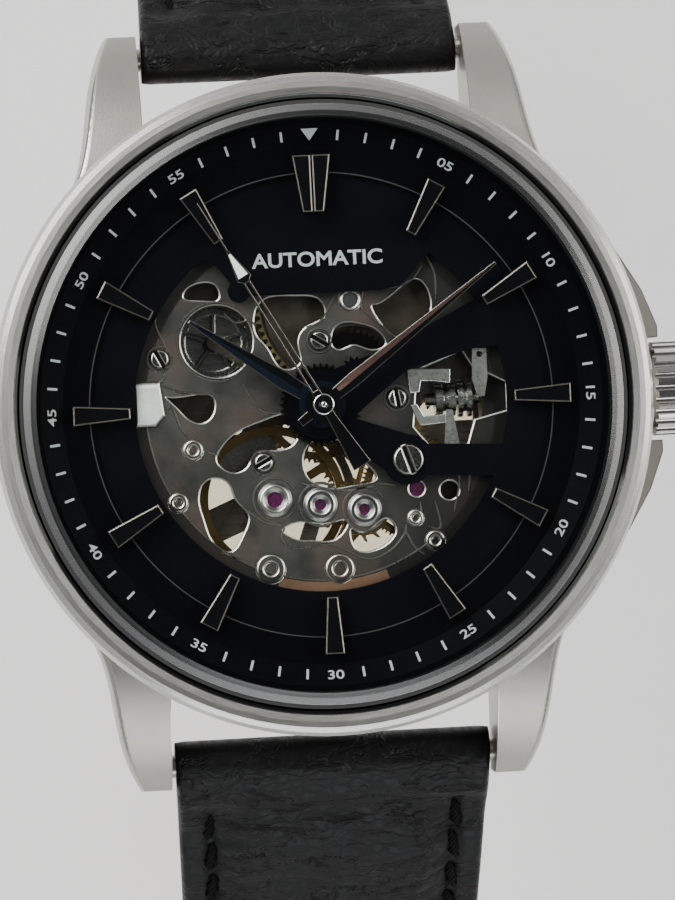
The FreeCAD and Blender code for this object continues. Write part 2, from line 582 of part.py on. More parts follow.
def make_mainplate():
    windows = [
        ("curve", [(-6.75, -2.9), (-5.4, -1.5), (-3.7, -0.85), (-1.8, -0.7), (-1.7, -2.2), (-2.9, -2.75),
                   (-4.4, -2.9), (-4.9, -3.7), (-6.0, -4.0)]),
        ("curve", [(-7.9, -5.0), (-7.2, -4.4), (-6.2, -4.7), (-5.75, -5.8), (-5.0, -6.8), (-5.4, -8.1),
                   (-6.2, -9.05), (-7.1, -8.6), (-7.8, -6.9)]),
        ("curve", [(-0.5, -2.3), (0.9, -2.3), (2.3, -3.5), (3.3, -4.9), (2.0, -5.2), (0.6, -5.35),
                   (-1.0, -4.6)]),
        ("curve", [(-2.7, -7.75), (-1.75, -7.45), (0.2, -7.6), (1.3, -7.5), (0.7, -8.5), (-1.0, -8.6),
                   (-2.2, -8.4)]),
        ("curve", [(1.75, -8.1), (2.9, -8.05), (3.9, -7.5), (4.4, -8.1), (4.0, -8.9), (2.6, -9.5),
                   (1.7, -9.1)]),
        ("curve", [(-9.8, 0.95), (-8.3, 0.95), (-6.9, 0.8), (-7.0, -0.4), (-7.8, -0.8), (-8.6, -0.4),
                   (-9.3, 0.4)]),
        ("circle", (REVERSER.x, REVERSER.y, 2.3)),
        ("curve", [(-4.0, 5.3), (-3.2, 6.9), (-1.2, 7.0), (0.3, 6.6), (0.5, 5.7), (-0.6, 5.1), (-1.3, 4.0),
                   (-1.25, 2.7), (-2.2, 2.4), (-3.2, 3.8)]),
        ("curve", [(3.7, 6.2), (5.2, 7.0), (6.6, 7.7), (7.3, 6.6), (6.6, 4.6), (5.3, 4.1), (4.1, 5.1)]),
        ("curve", [(-8.4, 7.4), (-7.3, 8.1), (-6.3, 7.8), (-6.2, 7.1), (-7.3, 7.0)]),
        ("polygon", [(5.9, -1.7), (6.3, 1.9), (9.2, 3.0), (9.8, 2.0), (11.9, 0.9), (11.9, -0.9), (9.8, -1.4),
                     (9.3, -2.9), (7.0, -3.1)]),
        ("circle", (FOURTH.x + 2.1, FOURTH.y - 0.2, 0.6)),
    ]
    disc = plate("plate_disc", [("circle", (0, 0, size("plate_radius")))] + windows,
                 "plate_low", "plate_high")
    block = plate("stem_block", [("polygon", [(10.4, -1.5), (12.7, -1.5), (12.7, 1.5), (10.4, 1.5)])],
                  "stem_z - 1", "plate_low")
    rings = [rod(f"plate_ring_{number}", radius, "plate_high", "plate_high + 0.12", place.x, place.y,
                 hole=radius * 0.5)
             for number, (place, radius) in enumerate(((V(-8.3, -2.5, 0), 0.62), (V(-9.4, -5.8, 0), 0.6),
                                                       (V(-3.7, -10.3, 0), 0.9), (V(0.7, -10.5, 0), 0.9),
                                                       (V(6.9, -9.0, 0), 0.6), (V(2.2, 6.6, 0), 0.65),
                                                       (V(5.7, -7.5, 0), 0.5)))]
    shoe = plate("plate_shoe", [("polygon", [(-11.85, 1.9), (-10.25, 1.9), (-10.0, -0.2), (-10.6, -0.85),
                                             (-11.85, -0.85)])],
                 "plate_high", "plate_high + 0.2")
    solid = fuse("plate_solid", disc, block, shoe, *rings)
    pocket = rod("works_pocket", 2.7, "plate_low - 1", "works_ceiling", MOTION.x, MOTION.y)
    centre_pocket = rod("cannon_pocket", 1.15, "plate_low - 1", "works_ceiling")
    kidney = plate("works_window", [("curve", [(0.9, 4.1), (1.5, 5.1), (2.9, 5.0), (4.0, 4.4), (4.3, 3.7),
                                               (3.4, 3.4), (2.2, 3.75), (1.3, 3.5)])],
                   "works_ceiling - 0.1", "plate_high + 1")
    centre_hole = rod("plate_centre_hole", 0.76, "plate_low - 1", "plate_high + 1")
    motion_hole = rod("plate_motion_hole", 0.33, "plate_low", "plate_high + 1", MOTION.x, MOTION.y)
    barrel_hole = rod("plate_barrel_hole", 0.5, "plate_low - 1", "plate_high + 1", BARREL.x, BARREL.y)
    stem_hole = along_x(rod("plate_stem_hole", "stem_radius + 0.05", 0, 4), 10)
    holes = [rod(f"plate_jewel_{name}", "jewel_radius", "plate_low - 1", "plate_high + 1", spot.x, spot.y)
             for name, spot in BEARINGS]
    screws = [rod(f"plate_screw_hole_{number}", 0.35, "plate_low - 1", "plate_high + 1", spot.x, spot.y)
              for number, spot in enumerate(PLATE_SCREWS)]
    keep(cut("mainplate", solid, pocket, centre_pocket, kidney, centre_hole, motion_hole, barrel_hole,
             stem_hole, *holes, *screws), "mainplate")


def make_bridges():
    disc = plate("bridge_disc", [
        ("circle", (0, 0, size("plate_radius"))),
        ("curve", [(-0.6, 3.6), (-1.6, 6.2), (-3.9, 8.6), (-3.2, 5.4), (-2.6, 2.6)]),
        ("curve", [(1.75, -3.5), (2.5, -3.9), (3.7, -4.2), (4.1, -5.0), (3.4, -5.7), (2.3, -5.75),
                   (2.15, -4.8)]),
        ("curve", [(3.3, -7.6), (4.3, -7.5), (4.7, -8.2), (4.1, -9.2), (2.6, -9.6), (1.9, -9.2),
                   (2.6, -8.3)])],
        "bridge_low", "bridge_high")
    window = rod("bridge_round", 2.3, "bridge_low - 1", "bridge_high + 1", REVERSER.x, REVERSER.y)
    arm = plate("bridge_arm", [stadium(REVERSER, REVERSER + V(2.6, -1.6, 0), 0.45)],
                "bridge_low", "bridge_high")
    pillars = [rod(f"bridge_pillar_{number}", "pillar_radius", "bridge_low", "plate_low", spot.x, spot.y)
               for number, spot in enumerate(PILLARS)]
    posts = [rod(f"bridge_post_{number}", 0.45, 2.3, "bridge_low + 0.1", spot.x, spot.y)
             for number, spot in enumerate((MIDDLE, REVERSER, CROWN_WHEEL))]
    rotor_post = rod("rotor_post", 0.9, 1.8, "bridge_low + 0.1")
    body = fuse("bridge_solid", cut("bridge_plate", disc, window), arm, *pillars, *posts, rotor_post)
    balance_room = rod("bridge_balance_room", "rim_radius + 0.2", "bridge_low - 1", "bridge_high + 0.4",
                       BALANCE.x, BALANCE.y)
    corner = plate("bridge_corner", [("polygon", [(BALANCE.x - 2.0, BALANCE.y + 3.4), (-14, -3.4), (-14, -14),
                                                  (-3.0, -14), (BALANCE.x + 0.8, BALANCE.y - 3)])],
                   "bridge_low - 1", "bridge_high + 0.4")
    crown_slot = plate("bridge_crown_slot", [("polygon", [(6.7, -1.4), (10.1, -1.4), (10.1, 1.4), (6.7, 1.4)])],
                       "bridge_low - 1", "bridge_high + 1")
    holes = [rod(f"bridge_jewel_{name}", "jewel_radius", "bridge_low - 1", "bridge_high + 1", spot.x, spot.y)
             for name, spot in (("third", THIRD), ("fourth", FOURTH), ("escape", ESCAPE))]
    seconds_hole = rod("bridge_seconds_hole", 0.2, 1, "bridge_high + 1")
    barrel_hole = rod("bridge_barrel_hole", 0.85, 2, "bridge_high + 1", BARREL.x, BARREL.y)
    keep(cut("train_bridge", body, balance_room, corner, crown_slot, seconds_hole, barrel_hole, *holes),
         "train_bridge")

    foot = V(-8.5, -8.1, 0)
    arm = plate("cock_arm", [stadium(foot, BALANCE, 1.1)], "bridge_low", "bridge_high")
    head = rod("cock_head", 1.5, "bridge_low", "bridge_high", BALANCE.x, BALANCE.y)
    leg = rod("cock_leg", 0.95, "bridge_low", "plate_low", foot.x, foot.y)
    stud_arm = plate("cock_stud_arm", [stadium(BALANCE, BALANCE + V(0, -2.45, 0), 0.35)],
                     "bridge_low", "bridge_high")
    stud_post = rod("cock_stud_post", 0.25, "bridge_high - 0.1", "spring_high", BALANCE.x, BALANCE.y - 2.45)
    hole = rod("cock_hole", "jewel_radius", "bridge_low - 1", "bridge_high + 1", BALANCE.x, BALANCE.y)
    keep(cut("balance_cock", fuse("cock_solid", arm, head, leg, stud_arm, stud_post), hole),
         "balance_cock")

    bars = [plate(f"pallet_bar_{number}", [stadium(PALLET, spot, 0.5)],
                  "pallet_bridge_low", "pallet_bridge_high") for number, spot in enumerate(PALLET_POSTS)]
    legs = [rod(f"pallet_leg_{number}", 0.45, "pallet_bridge_low", "plate_low", spot.x, spot.y)
            for number, spot in enumerate(PALLET_POSTS)]
    hole = rod("pallet_hole", "pivot_radius + 0.03", 4, 6, PALLET.x, PALLET.y)
    keep(cut("pallet_bridge", fuse("pallet_bridge_solid", *bars, *legs), hole), "pallet_bridge")


def make_jewels():
    jewels = []
    for name, spot in BEARINGS:
        jewels.append(rod(f"jewel_{name}", "jewel_radius", "plate_low", "plate_high - 0.15", spot.x, spot.y,
                          hole="jewel_hole"))
    for name, spot in (("third", THIRD), ("fourth", FOURTH), ("escape", ESCAPE), ("balance", BALANCE)):
        jewels.append(rod(f"low_jewel_{name}", "jewel_radius", "bridge_low", "bridge_high", spot.x, spot.y,
                          hole="jewel_hole"))
    keep(group("jewels", *jewels), "jewels")
    rings = []
    for name, spot, radius, hole in (("balance", BALANCE, 1.1, 0.5), ("pallet", PALLET, 1.1, 0.36),
                                     ("escape", ESCAPE, 1.1, 0.36)):
        rings.append(turned(f"setting_{name}", [
            (hole, "plate_high"), (radius, "plate_high"), (radius, "plate_high + 0.1"),
            (radius - 0.15, "plate_high + 0.2"), (hole + 0.2, "plate_high + 0.2"),
            (hole, "plate_high + 0.08")], spot.x, spot.y))
    keep(group("jewel_settings", *rings), "jewel_settings")


def make_screws():
    """Slotted screws: shank in the plate, head above it."""
    screws = []
    for number, spot in enumerate(PLATE_SCREWS):
        on_dial = number == len(PLATE_SCREWS) - 1
        low = "dial_high" if on_dial else "plate_high"
        radius = 1.0 if on_dial else 0.62
        half = 0.18 if on_dial else 0.13
        blank = turned(f"screw_blank_{number}", [
            (0, "plate_low"), (0.35, "plate_low"), (0.35, low), (radius, low), (radius, low + " + 0.17"),
            (radius - 0.08, low + " + 0.25"), (0, low + " + 0.25")], spot.x, spot.y)
        slot = plate(f"screw_slot_{number}", [("polygon", [(-2, -half), (2, -half), (2, half), (-2, half)])],
                     low + " + 0.1", low + " + 1", spot.x, spot.y)
        slot.setExpression("Placement.Rotation.Angle", str(SLOT_TURNS[number]))
        screws.append(cut(f"screw_{number}", blank, slot))
    keep(group("movement_screws", *screws), "movement_screws")


# ---------------------------------------------------------------- going train
def make_train():
    phase = {}
    barrel_module = module_for(BARREL.Length, "barrel_teeth", "centre_pinion_teeth")
    minute_module = module_for(THIRD.Length, "centre_teeth", "third_pinion_teeth")
    third_module = module_for(size("fourth_to_third"), "third_teeth", "fourth_pinion_teeth")
    fourth_module = module_for(size("fourth_to_escape"), "fourth_teeth", "escape_pinion_teeth")
    phase["centre_pinion"] = 0
    phase["barrel"] = mesh_phase(heading(CENTRE, BARREL), size("centre_pinion_teeth"), 0,
                                 size("barrel_teeth"))
    phase["third_pinion"] = mesh_phase(heading(CENTRE, THIRD), size("centre_teeth"), 0,
                                       size("third_pinion_teeth"))
    phase["seconds"] = mesh_phase(heading(THIRD, CENTRE), size("third_teeth"), 0,
                                  size("fourth_pinion_teeth"))
    phase["fourth_pinion"] = mesh_phase(heading(THIRD, FOURTH), size("third_teeth"), 0,
                                        size("fourth_pinion_teeth"))
    phase["escape_pinion"] = mesh_phase(heading(FOURTH, ESCAPE), size("fourth_teeth"), 0,
                                        size("escape_pinion_teeth"))

    teeth = gear("barrel_tooth_ring", "barrel_teeth", barrel_module, "barrel_teeth_low",
                 "barrel_teeth_high", BARREL.x, BARREL.y, phase["barrel"], "drum_radius - 0.3")
    drum = turned("drum_shell", [
        (0.55, "barrel_high - 0.2"), ("drum_radius - drum_wall", "barrel_high - 0.2"),
        ("drum_radius - drum_wall", "barrel_low + 0.2"), ("drum_radius", "barrel_low + 0.2"),
        ("drum_radius", "barrel_high"), (0.55, "barrel_high")], BARREL.x, BARREL.y)
    keep(fuse("barrel_drum", drum, teeth), "barrel_drum")
    keep(rod("barrel_cover", "drum_radius", "barrel_low", "barrel_low + 0.2", BARREL.x, BARREL.y,
             hole=0.75), "barrel_cover")
    keep(turned("barrel_arbor", [
        (0, "ratchet_low"), (0.7, "ratchet_low"), (0.7, "barrel_low + 0.25"), (0.9, "barrel_low + 0.25"),
        (0.9, "barrel_high - 0.25"), (0.45, "barrel_high - 0.25"), (0.45, "plate_high"),
        (0, "plate_high")], BARREL.x, BARREL.y), "barrel_arbor")
    spring("mainspring", BARREL, 1.1, size("drum_radius") - 0.5, 9, 0.14,
           size("barrel_low") + 0.35, size("barrel_high") - 0.35)

    keep(gear("centre_wheel", "centre_teeth", minute_module, "centre_low", "centre_high", 0, 0, 0, 0.42,
              spokes=5, hub=0.95), "centre_wheel")
    pinion = gear("centre_leaves", "centre_pinion_teeth", barrel_module, "centre_pinion_low",
                  "centre_pinion_high", 0, 0, 0, 0.2)
    pipe = rod("centre_pipe", 0.42, 3.9, 8.8, hole=0.2)
    keep(fuse("centre_pinion", pinion, pipe), "centre_pinion")

    wheel = gear("third_rim", "third_teeth", third_module, "third_low", "third_high", THIRD.x, THIRD.y, 0,
                 0.1, spokes=5)
    pinion = gear("third_leaves", "third_pinion_teeth", minute_module, "third_pinion_low",
                  "third_pinion_high", THIRD.x, THIRD.y, phase["third_pinion"], 0.1)
    keep(fuse("third_wheel", wheel, pinion, arbor("third_arbor", THIRD)), "third_wheel")

    pinion = gear("fourth_leaves", "fourth_pinion_teeth", third_module, "low_pinion_low", "low_pinion_high",
                  FOURTH.x, FOURTH.y, phase["fourth_pinion"], 0.1)
    wheel = gear("fourth_rim", "fourth_teeth", fourth_module, "fourth_low", "fourth_high", FOURTH.x,
                 FOURTH.y, 0, 0.1, spokes=5)
    keep(fuse("fourth_wheel", wheel, pinion, arbor("fourth_arbor", FOURTH)), "fourth_wheel")

    pinion = gear("seconds_leaves", "fourth_pinion_teeth", third_module, "low_pinion_low",
                  "low_pinion_high", 0, 0, phase["seconds"], 0.1)
    staff = rod("seconds_arbor", 0.16, "bridge_low", "seconds_high + 0.12")
    keep(fuse("seconds_pinion", pinion, staff), "seconds_pinion")

    pinion = gear("escape_leaves", "escape_pinion_teeth", fourth_module, "escape_pinion_low",
                  "escape_pinion_high", ESCAPE.x, ESCAPE.y, phase["escape_pinion"], 0.1)
    keep(fuse("escape_wheel", make_escape_rim(), pinion, arbor("escape_arbor", ESCAPE)), "escape_wheel")


def arbor(name, spot):
    """A steel arbor with a fine pivot at each end, held by the two jewels."""
    return turned(name, [
        (0, "bridge_low + 0.1"), ("pivot_radius", "bridge_low + 0.1"), ("pivot_radius", "bridge_high + 0.05"),
        ("arbor_radius", "bridge_high + 0.05"), ("arbor_radius", "plate_low - 0.05"),
        ("pivot_radius", "plate_low - 0.05"), ("pivot_radius", "plate_high - 0.25"),
        (0, "plate_high - 0.25")], spot.x, spot.y)


def make_escape_rim():
    """Fifteen raked club teeth on a thin rim with three spokes' windows."""
    count = int(size("escape_teeth"))
    tip = size("escape_radius")
    points = []
    for number in range(count):
        start = TURN * number / count
        for radius, shift in ((tip * 0.8, 0.0), (tip * 0.97, 0.12), (tip, 0.2), (tip * 0.8, 0.16)):
            angle = start + shift
            points.append((radius * math.cos(angle), radius * math.sin(angle)))
    windows = []
    for number in range(4):
        middle = TURN * number / 4
        windows.append(("curve", [(radius * math.cos(middle + side), radius * math.sin(middle + side))
                                  for radius, side in ((0.6, -0.35), (1.4, -0.6), (1.45, 0),
                                                       (1.4, 0.6), (0.6, 0.35))]))
    return plate("escape_rim", [("polygon", points)] + windows, "escape_low", "escape_high",
                 ESCAPE.x, ESCAPE.y)


def spring(label, centre, inner, outer, turns, thick, low, high):
    """A flat spiral spring: a strip that follows an even spiral, as a solid with a formula outline."""
    steps = int(turns * 24)
    rows = []
    for shift in (-thick / 2, thick / 2):
        row = []
        for number in range(steps + 1):
            radius = inner + (outer - inner) * number / steps + shift
            angle = TURN * turns * number / steps
            row.append(V(centre.x + radius * math.cos(angle), centre.y + radius * math.sin(angle), low))
        rows.append(row)
    edges = []
    for row in rows:
        curve = Part.BSplineCurve()
        curve.interpolate(row)
        edges.append(curve.toShape())
    edges.append(Part.makeLine(rows[0][0], rows[1][0]))
    edges.append(Part.makeLine(rows[0][-1], rows[1][-1]))
    outline = Part.Wire(Part.__sortEdges__(edges))
    feature = doc.addObject("Part::Feature", label)
    feature.Shape = Part.Face(outline).extrude(V(0, 0, high - low))
    keep(feature, label)


# ---------------------------------------------------------------- escapement
def make_escapement():
    to_balance = V(BALANCE - PALLET).normalize()
    to_escape = V(ESCAPE - PALLET).normalize()
    fork_end = PALLET + to_balance * 2.2
    lever = plate("fork_lever", [stadium(PALLET, fork_end, 0.16)], "fork_low", "fork_high")
    side = V(-to_balance.y, to_balance.x, 0)
    horns = [plate(f"fork_horn_{number}", [stadium(fork_end, fork_end + to_balance * 0.4 + side * sign * 0.34,
                                                   0.1)], "fork_low", "fork_high")
             for number, sign in enumerate((1, -1))]
    arms = []
    for number, sign in enumerate((1, -1)):
        reach = math.radians(62) * sign
        heading_out = math.atan2(to_escape.y, to_escape.x) + reach
        end = PALLET + V(math.cos(heading_out), math.sin(heading_out), 0) * 1.45
        arms.append(plate(f"fork_arm_{number}", [stadium(PALLET, end, 0.17)], "fork_low", "fork_high"))
    hub = rod("fork_hub", 0.35, "fork_low", "fork_high", PALLET.x, PALLET.y)
    staff = turned("fork_staff", [
        (0, "pallet_bridge_low + 0.05"), ("pivot_radius", "pallet_bridge_low + 0.05"),
        ("pivot_radius", "pallet_bridge_high + 0.04"), (0.2, "pallet_bridge_high + 0.04"),
        (0.2, "plate_low - 0.05"), ("pivot_radius", "plate_low - 0.05"),
        ("pivot_radius", "plate_high - 0.25"), (0, "plate_high - 0.25")], PALLET.x, PALLET.y)
    keep(fuse("pallet_fork", lever, hub, staff, *horns, *arms), "pallet_fork")

    rim = rod("balance_rim", "rim_radius", "rim_low", "rim_high", BALANCE.x, BALANCE.y, hole="rim_inner")
    arms = [plate(f"balance_arm_{number}", [stadium(V(), polar(size("rim_inner") + 0.2, 60 + 120 * number), 0.28)],
                  "arm_low", "arm_high", BALANCE.x, BALANCE.y) for number in range(3)]
    hub = rod("balance_hub", 0.8, "arm_low", "arm_high", BALANCE.x, BALANCE.y)
    bore = rod("balance_bore", 0.3, "arm_low - 1", "arm_high + 1", BALANCE.x, BALANCE.y)
    keep(cut("balance_wheel", fuse("balance_solid", rim, hub, *arms), bore), "balance_wheel")
    staff = turned("staff", [
        (0, "bridge_low + 0.1"), ("pivot_radius", "bridge_low + 0.1"), ("pivot_radius", "bridge_high + 0.05"),
        (0.3, "bridge_high + 0.05"), (0.3, "arm_high"), (0.42, "arm_high"), (0.42, 5.3), (0.2, 5.3),
        (0.2, 5.8), (0.6, 5.8), (0.6, 5.95), (0.2, 5.95), (0.2, "plate_low - 0.05"),
        ("pivot_radius", "plate_low - 0.05"), ("pivot_radius", "plate_high - 0.25"),
        (0, "plate_high - 0.25")], BALANCE.x, BALANCE.y)
    keep(staff, "balance_staff")
    spring("hairspring", BALANCE, 0.42, size("spring_radius"), 7.75, 0.06, size("spring_low"),
           size("spring_high"))


# ---------------------------------------------------------------- motion works
def make_motion_works():
    cannon_module = module_for(MOTION.Length, "cannon_teeth", "motion_teeth")
    hour_module = module_for(MOTION.Length, "motion_pinion_teeth", "hour_teeth")
    out = heading(CENTRE, MOTION)
    leaves = gear("cannon_leaves", "cannon_teeth", cannon_module, "motion_low - 0.05", "motion_high + 0.03",
                  0, 0, 0, 0.45)
    pipe = turned("cannon_pipe", [
        (0.45, "motion_high"), (0.62, "motion_high"), (0.7, "plate_high"), (0.7, "minute_high"),
        (0.45, "minute_high")])
    keep(fuse("cannon_pinion", leaves, pipe), "cannon_pinion")
    wheel_phase = mesh_phase(out, size("cannon_teeth"), 0, size("motion_teeth"))
    wheel = gear("motion_rim", "motion_teeth", cannon_module, "motion_low", "motion_high", MOTION.x,
                 MOTION.y, wheel_phase, 0.1)
    leaves = gear("motion_leaves", "motion_pinion_teeth", hour_module, "hour_wheel_low - 0.05",
                  "hour_wheel_high", MOTION.x, MOTION.y, 0, 0.1)
    pin = rod("motion_pin", 0.3, "motion_low", "hour_wheel_high", MOTION.x, MOTION.y)
    keep(fuse("minute_wheel", wheel, leaves, pin), "minute_wheel")
    hour_phase = mesh_phase(out + math.pi, size("motion_pinion_teeth"), 0, size("hour_teeth"))
    rim = gear("hour_rim", "hour_teeth", hour_module, "hour_wheel_low", "hour_wheel_high", 0, 0,
               hour_phase, 0.78)
    pipe = rod("hour_pipe", 0.95, "hour_wheel_low", "hour_high", hole=0.78)
    keep(fuse("hour_wheel", rim, pipe), "hour_wheel")


# ---------------------------------------------------------------- winding and setting
def make_winding():
    ratchet_module = module_for((CROWN_WHEEL - BARREL).Length, "ratchet_teeth", "crown_wheel_teeth")
    toward = heading(BARREL, CROWN_WHEEL)
    keep(gear("ratchet_wheel", "ratchet_teeth", ratchet_module, "ratchet_low", "ratchet_high", BARREL.x,
              BARREL.y, 0, 0.7), "ratchet_wheel")
    phase = mesh_phase(toward, size("ratchet_teeth"), 0, size("crown_wheel_teeth"))
    keep(gear("crown_wheel", "crown_wheel_teeth", ratchet_module, "ratchet_low", "ratchet_high",
              CROWN_WHEEL.x, CROWN_WHEEL.y, phase, 0.5), "crown_wheel")
    keep(plate("click", [("polygon", [(0, 0.35), (-0.35, 0), (0, -0.35), (1.6, -0.2), (2.3, 0.15), (1.5, 0.3)]),
                         ("circle", (0, 0, 0.15))], "ratchet_low", "ratchet_high", -3.15, 9.6), "click")

    stem = turned("stem_solid", [
        (0, 0), (0.35, 0), ("stem_radius", 0.3), ("stem_radius", "crown_start - clutch_start + 2.7"),
        (0, "crown_start - clutch_start + 2.7")])
    keep(along_x(stem, "clutch_start - 0.6"), "stem")
    blank = turned("crown_blank", [
        ("stem_radius", 0.55), ("tube_radius + 0.25", 0.55), ("tube_radius + 0.25", 0),
        ("crown_radius - 0.3", 0), ("crown_radius", 0.3), ("crown_radius", "crown_length - 0.45"),
        ("crown_radius - 0.5", "crown_length"), (0, "crown_length"), (0, "crown_length - 1.7"),
        ("stem_radius", "crown_length - 1.7")])
    flute = new_body("flute_tool")
    sketch = new_sketch(flute, "flute_outline", "XY_Plane")
    draw_loop(sketch, ("circle", (size("crown_radius") + 0.05, 0, 0.24)))
    pad = flute.newObject("PartDesign::Pad", "flute_pad")
    pad.Profile = sketch
    pad.Length = 6
    doc.recompute()
    ring = flute.newObject("PartDesign::PolarPattern", "flute_ring")
    ring.Originals = [pad]
    ring.Axis = (origin_part(flute, "Z_Axis"), [""])
    ring.Angle = 360
    ring.setExpression("Occurrences", "Sizes.crown_flutes")
    flute.Tip = ring
    stand(flute, 0, 0, -1)
    doc.recompute()
    keep(along_x(cut("crown", blank, flute), "crown_start"), "crown")
    seal = rod("seal", "tube_bore - 0.03", 0, 0.5, hole="stem_radius + 0.03")
    keep(along_x(seal, "case_bore + 4.5"), "crown_gasket")

    winding = face_gear("winding", "winding_radius", "winding_length", "stem_radius + 0.03", 0.22)
    keep(along_x(winding, "winding_start"), "winding_pinion")
    clutch = face_gear("clutch", "clutch_radius", "clutch_length", "stem_radius + 0.03", 0.22)
    keep(along_x(clutch, "clutch_start"), "clutch_wheel")

    lever = plate("lever_blade", [("polygon", [(0.45, 0.35), (-0.45, 0.4), (-0.55, -1.6), (-0.2, -2.7),
                                               (0.2, -2.7), (0.45, -1.5)]), ("circle", (0, 0, 0.2))],
                  "plate_high + 0.05", "plate_high + 0.3", 10.3, 2.75)
    pin = rod("lever_pin", 0.16, "plate_low + 0.1", "plate_high + 0.2", 10.3, 0.25)
    keep(fuse("setting_lever", lever, pin), "setting_lever")
    blade = plate("yoke_blade", [("polygon", [(0.5, -0.4), (0.5, 0.4), (0.15, 2.6), (-0.25, 2.6),
                                              (-0.45, 0.6), (-0.6, -0.4)]), ("circle", (0, 0, 0.2))],
                  "plate_high + 0.05", "plate_high + 0.3", 8.25, -3.3)
    keep(blade, "yoke")


def face_gear(name, radius, length, hole, tooth):
    """A pinion with crown teeth cut in one end and leaves round its rim."""
    blank = turned(name + "_blank", [
        (hole, 0), (radius, 0), (radius, f"{length} * 0.35"), (f"{radius} * 0.72", f"{length} * 0.45"),
        (f"{radius} * 0.72", f"{length} * 0.6"), (radius, f"{length} * 0.7"), (radius, length),
        (hole, length)])
    tool = new_body(name + "_gap")
    sketch = new_sketch(tool, name + "_gap_outline", "XY_Plane")
    outer = size(radius)
    draw_loop(sketch, ("polygon", [(outer - tooth, -0.07), (outer + 0.2, -0.17), (outer + 0.2, 0.17),
                                   (outer - tooth, 0.07)]))
    pad = tool.newObject("PartDesign::Pad", name + "_gap_pad")
    pad.Profile = sketch
    pad.Length = 4
    doc.recompute()
    ring = tool.newObject("PartDesign::PolarPattern", name + "_gap_ring")
    ring.Originals = [pad]
    ring.Axis = (origin_part(tool, "Z_Axis"), [""])
    ring.Angle = 360
    ring.setExpression("Occurrences", "Sizes.winding_teeth")
    tool.Tip = ring
    stand(tool, 0, 0, -1)
    doc.recompute()
    return cut(name, blank, tool)


def make_rotor():
    radius = size("rotor_radius")
    inner = size("rotor_rim_inner")
    rim = half_ring("rotor_rim", inner, radius, "rotor_low", "rotor_high")
    web = half_ring("rotor_web", 1.2, inner + 0.2, "rotor_plate_low", "rotor_plate_high")
    hub = rod("rotor_hub", 1.9, "rotor_plate_low", "rotor_plate_high")
    module = module_for(size("middle_from_centre"), "rotor_pinion_teeth", "middle_teeth")
    pinion = gear("rotor_leaves", "rotor_pinion_teeth", module, "rotor_plate_high - 0.05", "ratchet_high",
                  0, 0, 0, 0.95)
    bore = rod("rotor_bore", 0.95, 1, 3)
    keep(cut("rotor", fuse("rotor_solid", rim, web, hub, pinion), bore), "rotor")
    phase = mesh_phase(heading(CENTRE, MIDDLE), size("rotor_pinion_teeth"), 0, size("middle_teeth"))
    keep(gear("intermediate_wheel", "middle_teeth", module, "ratchet_low", "ratchet_high", MIDDLE.x,
              MIDDLE.y, phase, 0.5), "intermediate_wheel")
    module = module_for(size("middle_from_reverser"), "middle_teeth", "reverser_teeth")
    phase = mesh_phase(heading(MIDDLE, REVERSER), size("middle_teeth"), phase, size("reverser_teeth"))
    keep(gear("reversing_wheel", "reverser_teeth", module, "ratchet_low", "ratchet_high", REVERSER.x,
              REVERSER.y, phase, 0.5, spokes=5), "reversing_wheel")


def half_ring(name, inner, outer, low, high):
    """A half ring on the 12 o'clock side."""
    body = new_body(name)
    sketch = new_sketch(body, name + "_outline", "XY_Plane")
    sketch.addGeometry(Part.Arc(V(-outer, 0, 0), V(0, outer, 0), V(outer, 0, 0)), False)
    sketch.addGeometry(Part.LineSegment(V(outer, 0, 0), V(inner, 0, 0)), False)
    sketch.addGeometry(Part.Arc(V(inner, 0, 0), V(0, inner, 0), V(-inner, 0, 0)), False)
    sketch.addGeometry(Part.LineSegment(V(-inner, 0, 0), V(-outer, 0, 0)), False)
    pad = body.newObject("PartDesign::Pad", name + "_pad")
    pad.Profile = sketch
    pad.setExpression("Length", bound(f"({high}) - ({low})"))
    stand(body, 0, 0, low)
    doc.recompute()
    return body


# ---------------------------------------------------------------- strap
BEND = size("bend_radius")
LEAD = math.radians(size("lead_angle"))
BEND_Y = size("bar_y") - BEND * math.sin(LEAD)
BEND_Z = size("bar_z") - BEND * math.cos(LEAD)


def strap_point(side, along, lift=0, across=0):
    """A point on the strap's bend, a length along from the spring bar, lifted off its middle line."""
    angle = math.pi / 2 - LEAD - along / BEND
    radius = BEND + lift
    return V(across, side * (BEND_Y + radius * math.cos(angle)), BEND_Z + radius * math.sin(angle))


def strap_frame(side, along, lift=0):
    """A placement on the strap: X across, Y along the strap away from the case, Z outwards."""
    angle = math.pi / 2 - LEAD - along / BEND
    outward = V(0, side * math.cos(angle), math.sin(angle))
    ahead = V(0, side * math.sin(angle), -math.cos(angle))
    across = ahead.cross(outward)
    matrix = FreeCAD.Matrix(across.x, ahead.x, outward.x, 0, across.y, ahead.y, outward.y, 0,
                            across.z, ahead.z, outward.z, 0, 0, 0, 0, 1)
    return FreeCAD.Placement(strap_point(side, along, lift), FreeCAD.Rotation(matrix))


